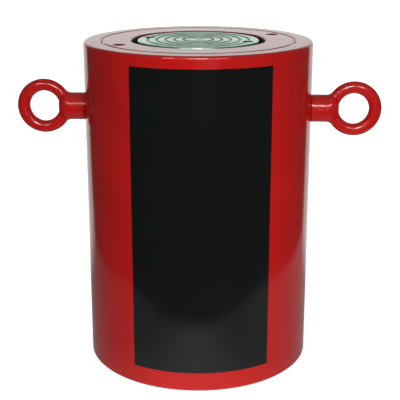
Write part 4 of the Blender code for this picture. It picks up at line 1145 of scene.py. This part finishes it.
from_middle = maths(tree, "SUBTRACT", deep, SHEET_MIDDLE)
cubes = [maths(tree, "POWER", maths(tree, "ABSOLUTE", maths(tree, "DIVIDE", v, half)), 3.0)
         for v, half in ((across, SHEET_HALF_WIDTH), (from_middle, SHEET_HALF_DEPTH))]
on_sheet = ramp(tree, maths(tree, "ADD", *cubes), 1.25, 0.8)
pool = ramp(tree, maths(tree, "ABSOLUTE", across), POOL_REACH, 0.0)
pool = maths(tree, "MULTIPLY", pool, ramp(tree, deep, 0.0, -POOL_EDGE))
level = maths(tree, "MULTIPLY_ADD", across, RIGHT_GLOW / SHEET_HALF_WIDTH, SHEET_GLOW)
level = maths(tree, "MULTIPLY_ADD", pool, POOL_GLOW, level)

aside = maths(tree, "ADD", across, maths(tree, "MULTIPLY_ADD", deep, WEDGE_TURN, WEDGE_ASIDE))
wedge = behind(tree, aside, maths(tree, "ADD", deep, WEDGE_SHIFT), WEDGE_SOFT)
wedge = maths(tree, "MULTIPLY", wedge, ramp(tree, deep, *WEDGE_STARTS))
glow = maths(tree, "MAXIMUM", maths(tree, "MULTIPLY", on_sheet, level), DIM_GLOW)
glow = maths(tree, "MAXIMUM", glow, maths(tree, "MULTIPLY", wedge, BACK_GLOW))
mirrored = add(tree, "ShaderNodeEmission", {"Strength": glow}).outputs[0]

far = maths(tree, "POWER", maths(tree, "ADD", *[maths(tree, "MULTIPLY", v, v) for v in (across, deep)]), 0.5)
near = ramp(tree, far, SHADOW_REACH * 1.4, SHADOW_REACH * 0.6)
lit = add(tree, "ShaderNodeBsdfDiffuse", {"Color": linear("FFFFFF")}).outputs[0]
white = add(tree, "ShaderNodeEmission", {"Strength": SEEN_GLOW}).outputs[0]
seen = mixed_light(tree, maths(tree, "MULTIPLY", near, SHADOW_SHARE), white, lit)
camera_ray = add(tree, "ShaderNodeLightPath").outputs["Is Camera Ray"]
both = mixed_light(tree, camera_ray, mirrored, seen)
tree.links.new(both, tree.nodes["Material Output"].inputs["Surface"])
floor.data.materials.append(paper)
print("sheet", SHEET_HALF_WIDTH * 2, "by", SHEET_HALF_DEPTH * 2, "m")

# %% [markdown]
# The world stands for the studio's walls. It is white to the camera, and white low down behind the
# object for everything that mirrors it, which gives the pale top face. The other walls are dim and
# the ceiling is a little lighter, so that the chromed rod isn't black. The directions are the
# studio's own, so nothing slides when the camera moves.

# %% World
WALL_DIM = 0.15
CEILING = 0.09
WALL_SOFT = 0.25
world = bpy.data.worlds.new("studio")
bpy.context.scene.world = world
world.use_nodes = True
tree = world.node_tree
way = add(tree, "ShaderNodeSeparateXYZ", {"Vector": add(tree, "ShaderNodeTexCoord").outputs["Generated"]})
back = behind(tree, way.outputs["X"], way.outputs["Y"], WALL_SOFT)
back = maths(tree, "MULTIPLY", back, ramp(tree, way.outputs["Z"], 0.65, 0.35))
dim = maths(tree, "MULTIPLY_ADD", ramp(tree, way.outputs["Z"], 0.5, 0.8), CEILING, WALL_DIM)
walls = maths(tree, "MAXIMUM", back, dim)
camera_ray = add(tree, "ShaderNodeLightPath").outputs["Is Camera Ray"]
background = tree.nodes["Background"]
tree.links.new(maths(tree, "MAXIMUM", walls, camera_ray), background.inputs["Strength"])
background.inputs["Color"].default_value = linear("FFFFFF")
print("world strengths:", WALL_DIM, WALL_DIM + CEILING, 1.0)

# %% [markdown]
# Each lamp has one task. A low lamp in front, a little to the right, lights the wall, which falls
# off towards both sides, and a weaker one lights the back. Neither of them shows in a reflection.
# What the eye reads as lamps are their images on rounded edges: a wide strip gives the faint
# streaks, a near lamp the glint in the middle of the rim and the saddle, and two side lamps the
# second streaks on the eyes. Those three show in reflections alone, so they don't flatten the red.

# %% Lamps
LAMP_AIM = Vector((0.0, 0.0, 0.17))


def lamp(name, azimuth, elevation, distance, size, power, mirrored=True, lights=True):
    """A lamp of (width, height), aimed at the cylinder. Azimuth 0 is in front, positive to the right."""
    data = bpy.data.lights.new(name, "AREA")
    data.shape = "RECTANGLE"
    data.size, data.size_y = size
    data.energy = power
    turn, rise = math.radians(azimuth), math.radians(elevation)
    arm = Vector((math.sin(turn) * math.cos(rise), -math.cos(turn) * math.cos(rise), math.sin(rise)))
    made = shown(name, data)
    made.location = LAMP_AIM + arm * distance
    made.rotation_euler = arm.to_track_quat("Z", "Y").to_euler()
    made.visible_camera = False
    made.visible_glossy = mirrored
    made.visible_diffuse = lights
    return made


lamp("low_lamp", 11.5, 1.0, 1.05, (0.30, 0.30), 7.2, mirrored=False)
lamp("back_lamp", 180.0, 8.0, 1.05, (0.40, 0.40), 6.0, mirrored=False)
lamp("strip_lamp", -3.0, 30.0, 1.6, (1.30, 0.10), 2.2)
lamp("glint_lamp", 1.8, 32.8, 1.107, (0.30, 0.12), 5.5, lights=False)
for side, sign in SIDES.items():
    lamp(f"{side}_lamp", sign * 26.6, 31.0, 1.16, (0.20, 0.12), 1.6, lights=False)
print("lamps:", [light.name for light in bpy.data.lights])

# %% [markdown]
# The camera's place and lens were worked out from the ellipses of the top and the base: their
# widths give the distance, and how far they open gives the height. The lens is shifted by less than
# a hundredth of the frame, because the object doesn't stand quite in the middle of the picture.

# %% Camera
DISTANCE = 0.886
CAMERA_HEIGHT = 0.414
AZIMUTH = math.radians(2.85)
PITCH = math.radians(16.92)
data = bpy.data.cameras.new("camera")
data.sensor_width = 36.0
data.lens = 88.75
data.shift_x = 0.0045
data.shift_y = 0.0035
camera = shown("camera", data)
camera.location = (DISTANCE * math.sin(AZIMUTH), -DISTANCE * math.cos(AZIMUTH), CAMERA_HEIGHT)
camera.rotation_euler = (math.pi / 2.0 - PITCH, 0.0, AZIMUTH)
bpy.context.scene.camera = camera
bpy.context.scene.view_settings.view_transform = "Standard"
print("camera", DISTANCE, "m away and", CAMERA_HEIGHT, "m up")
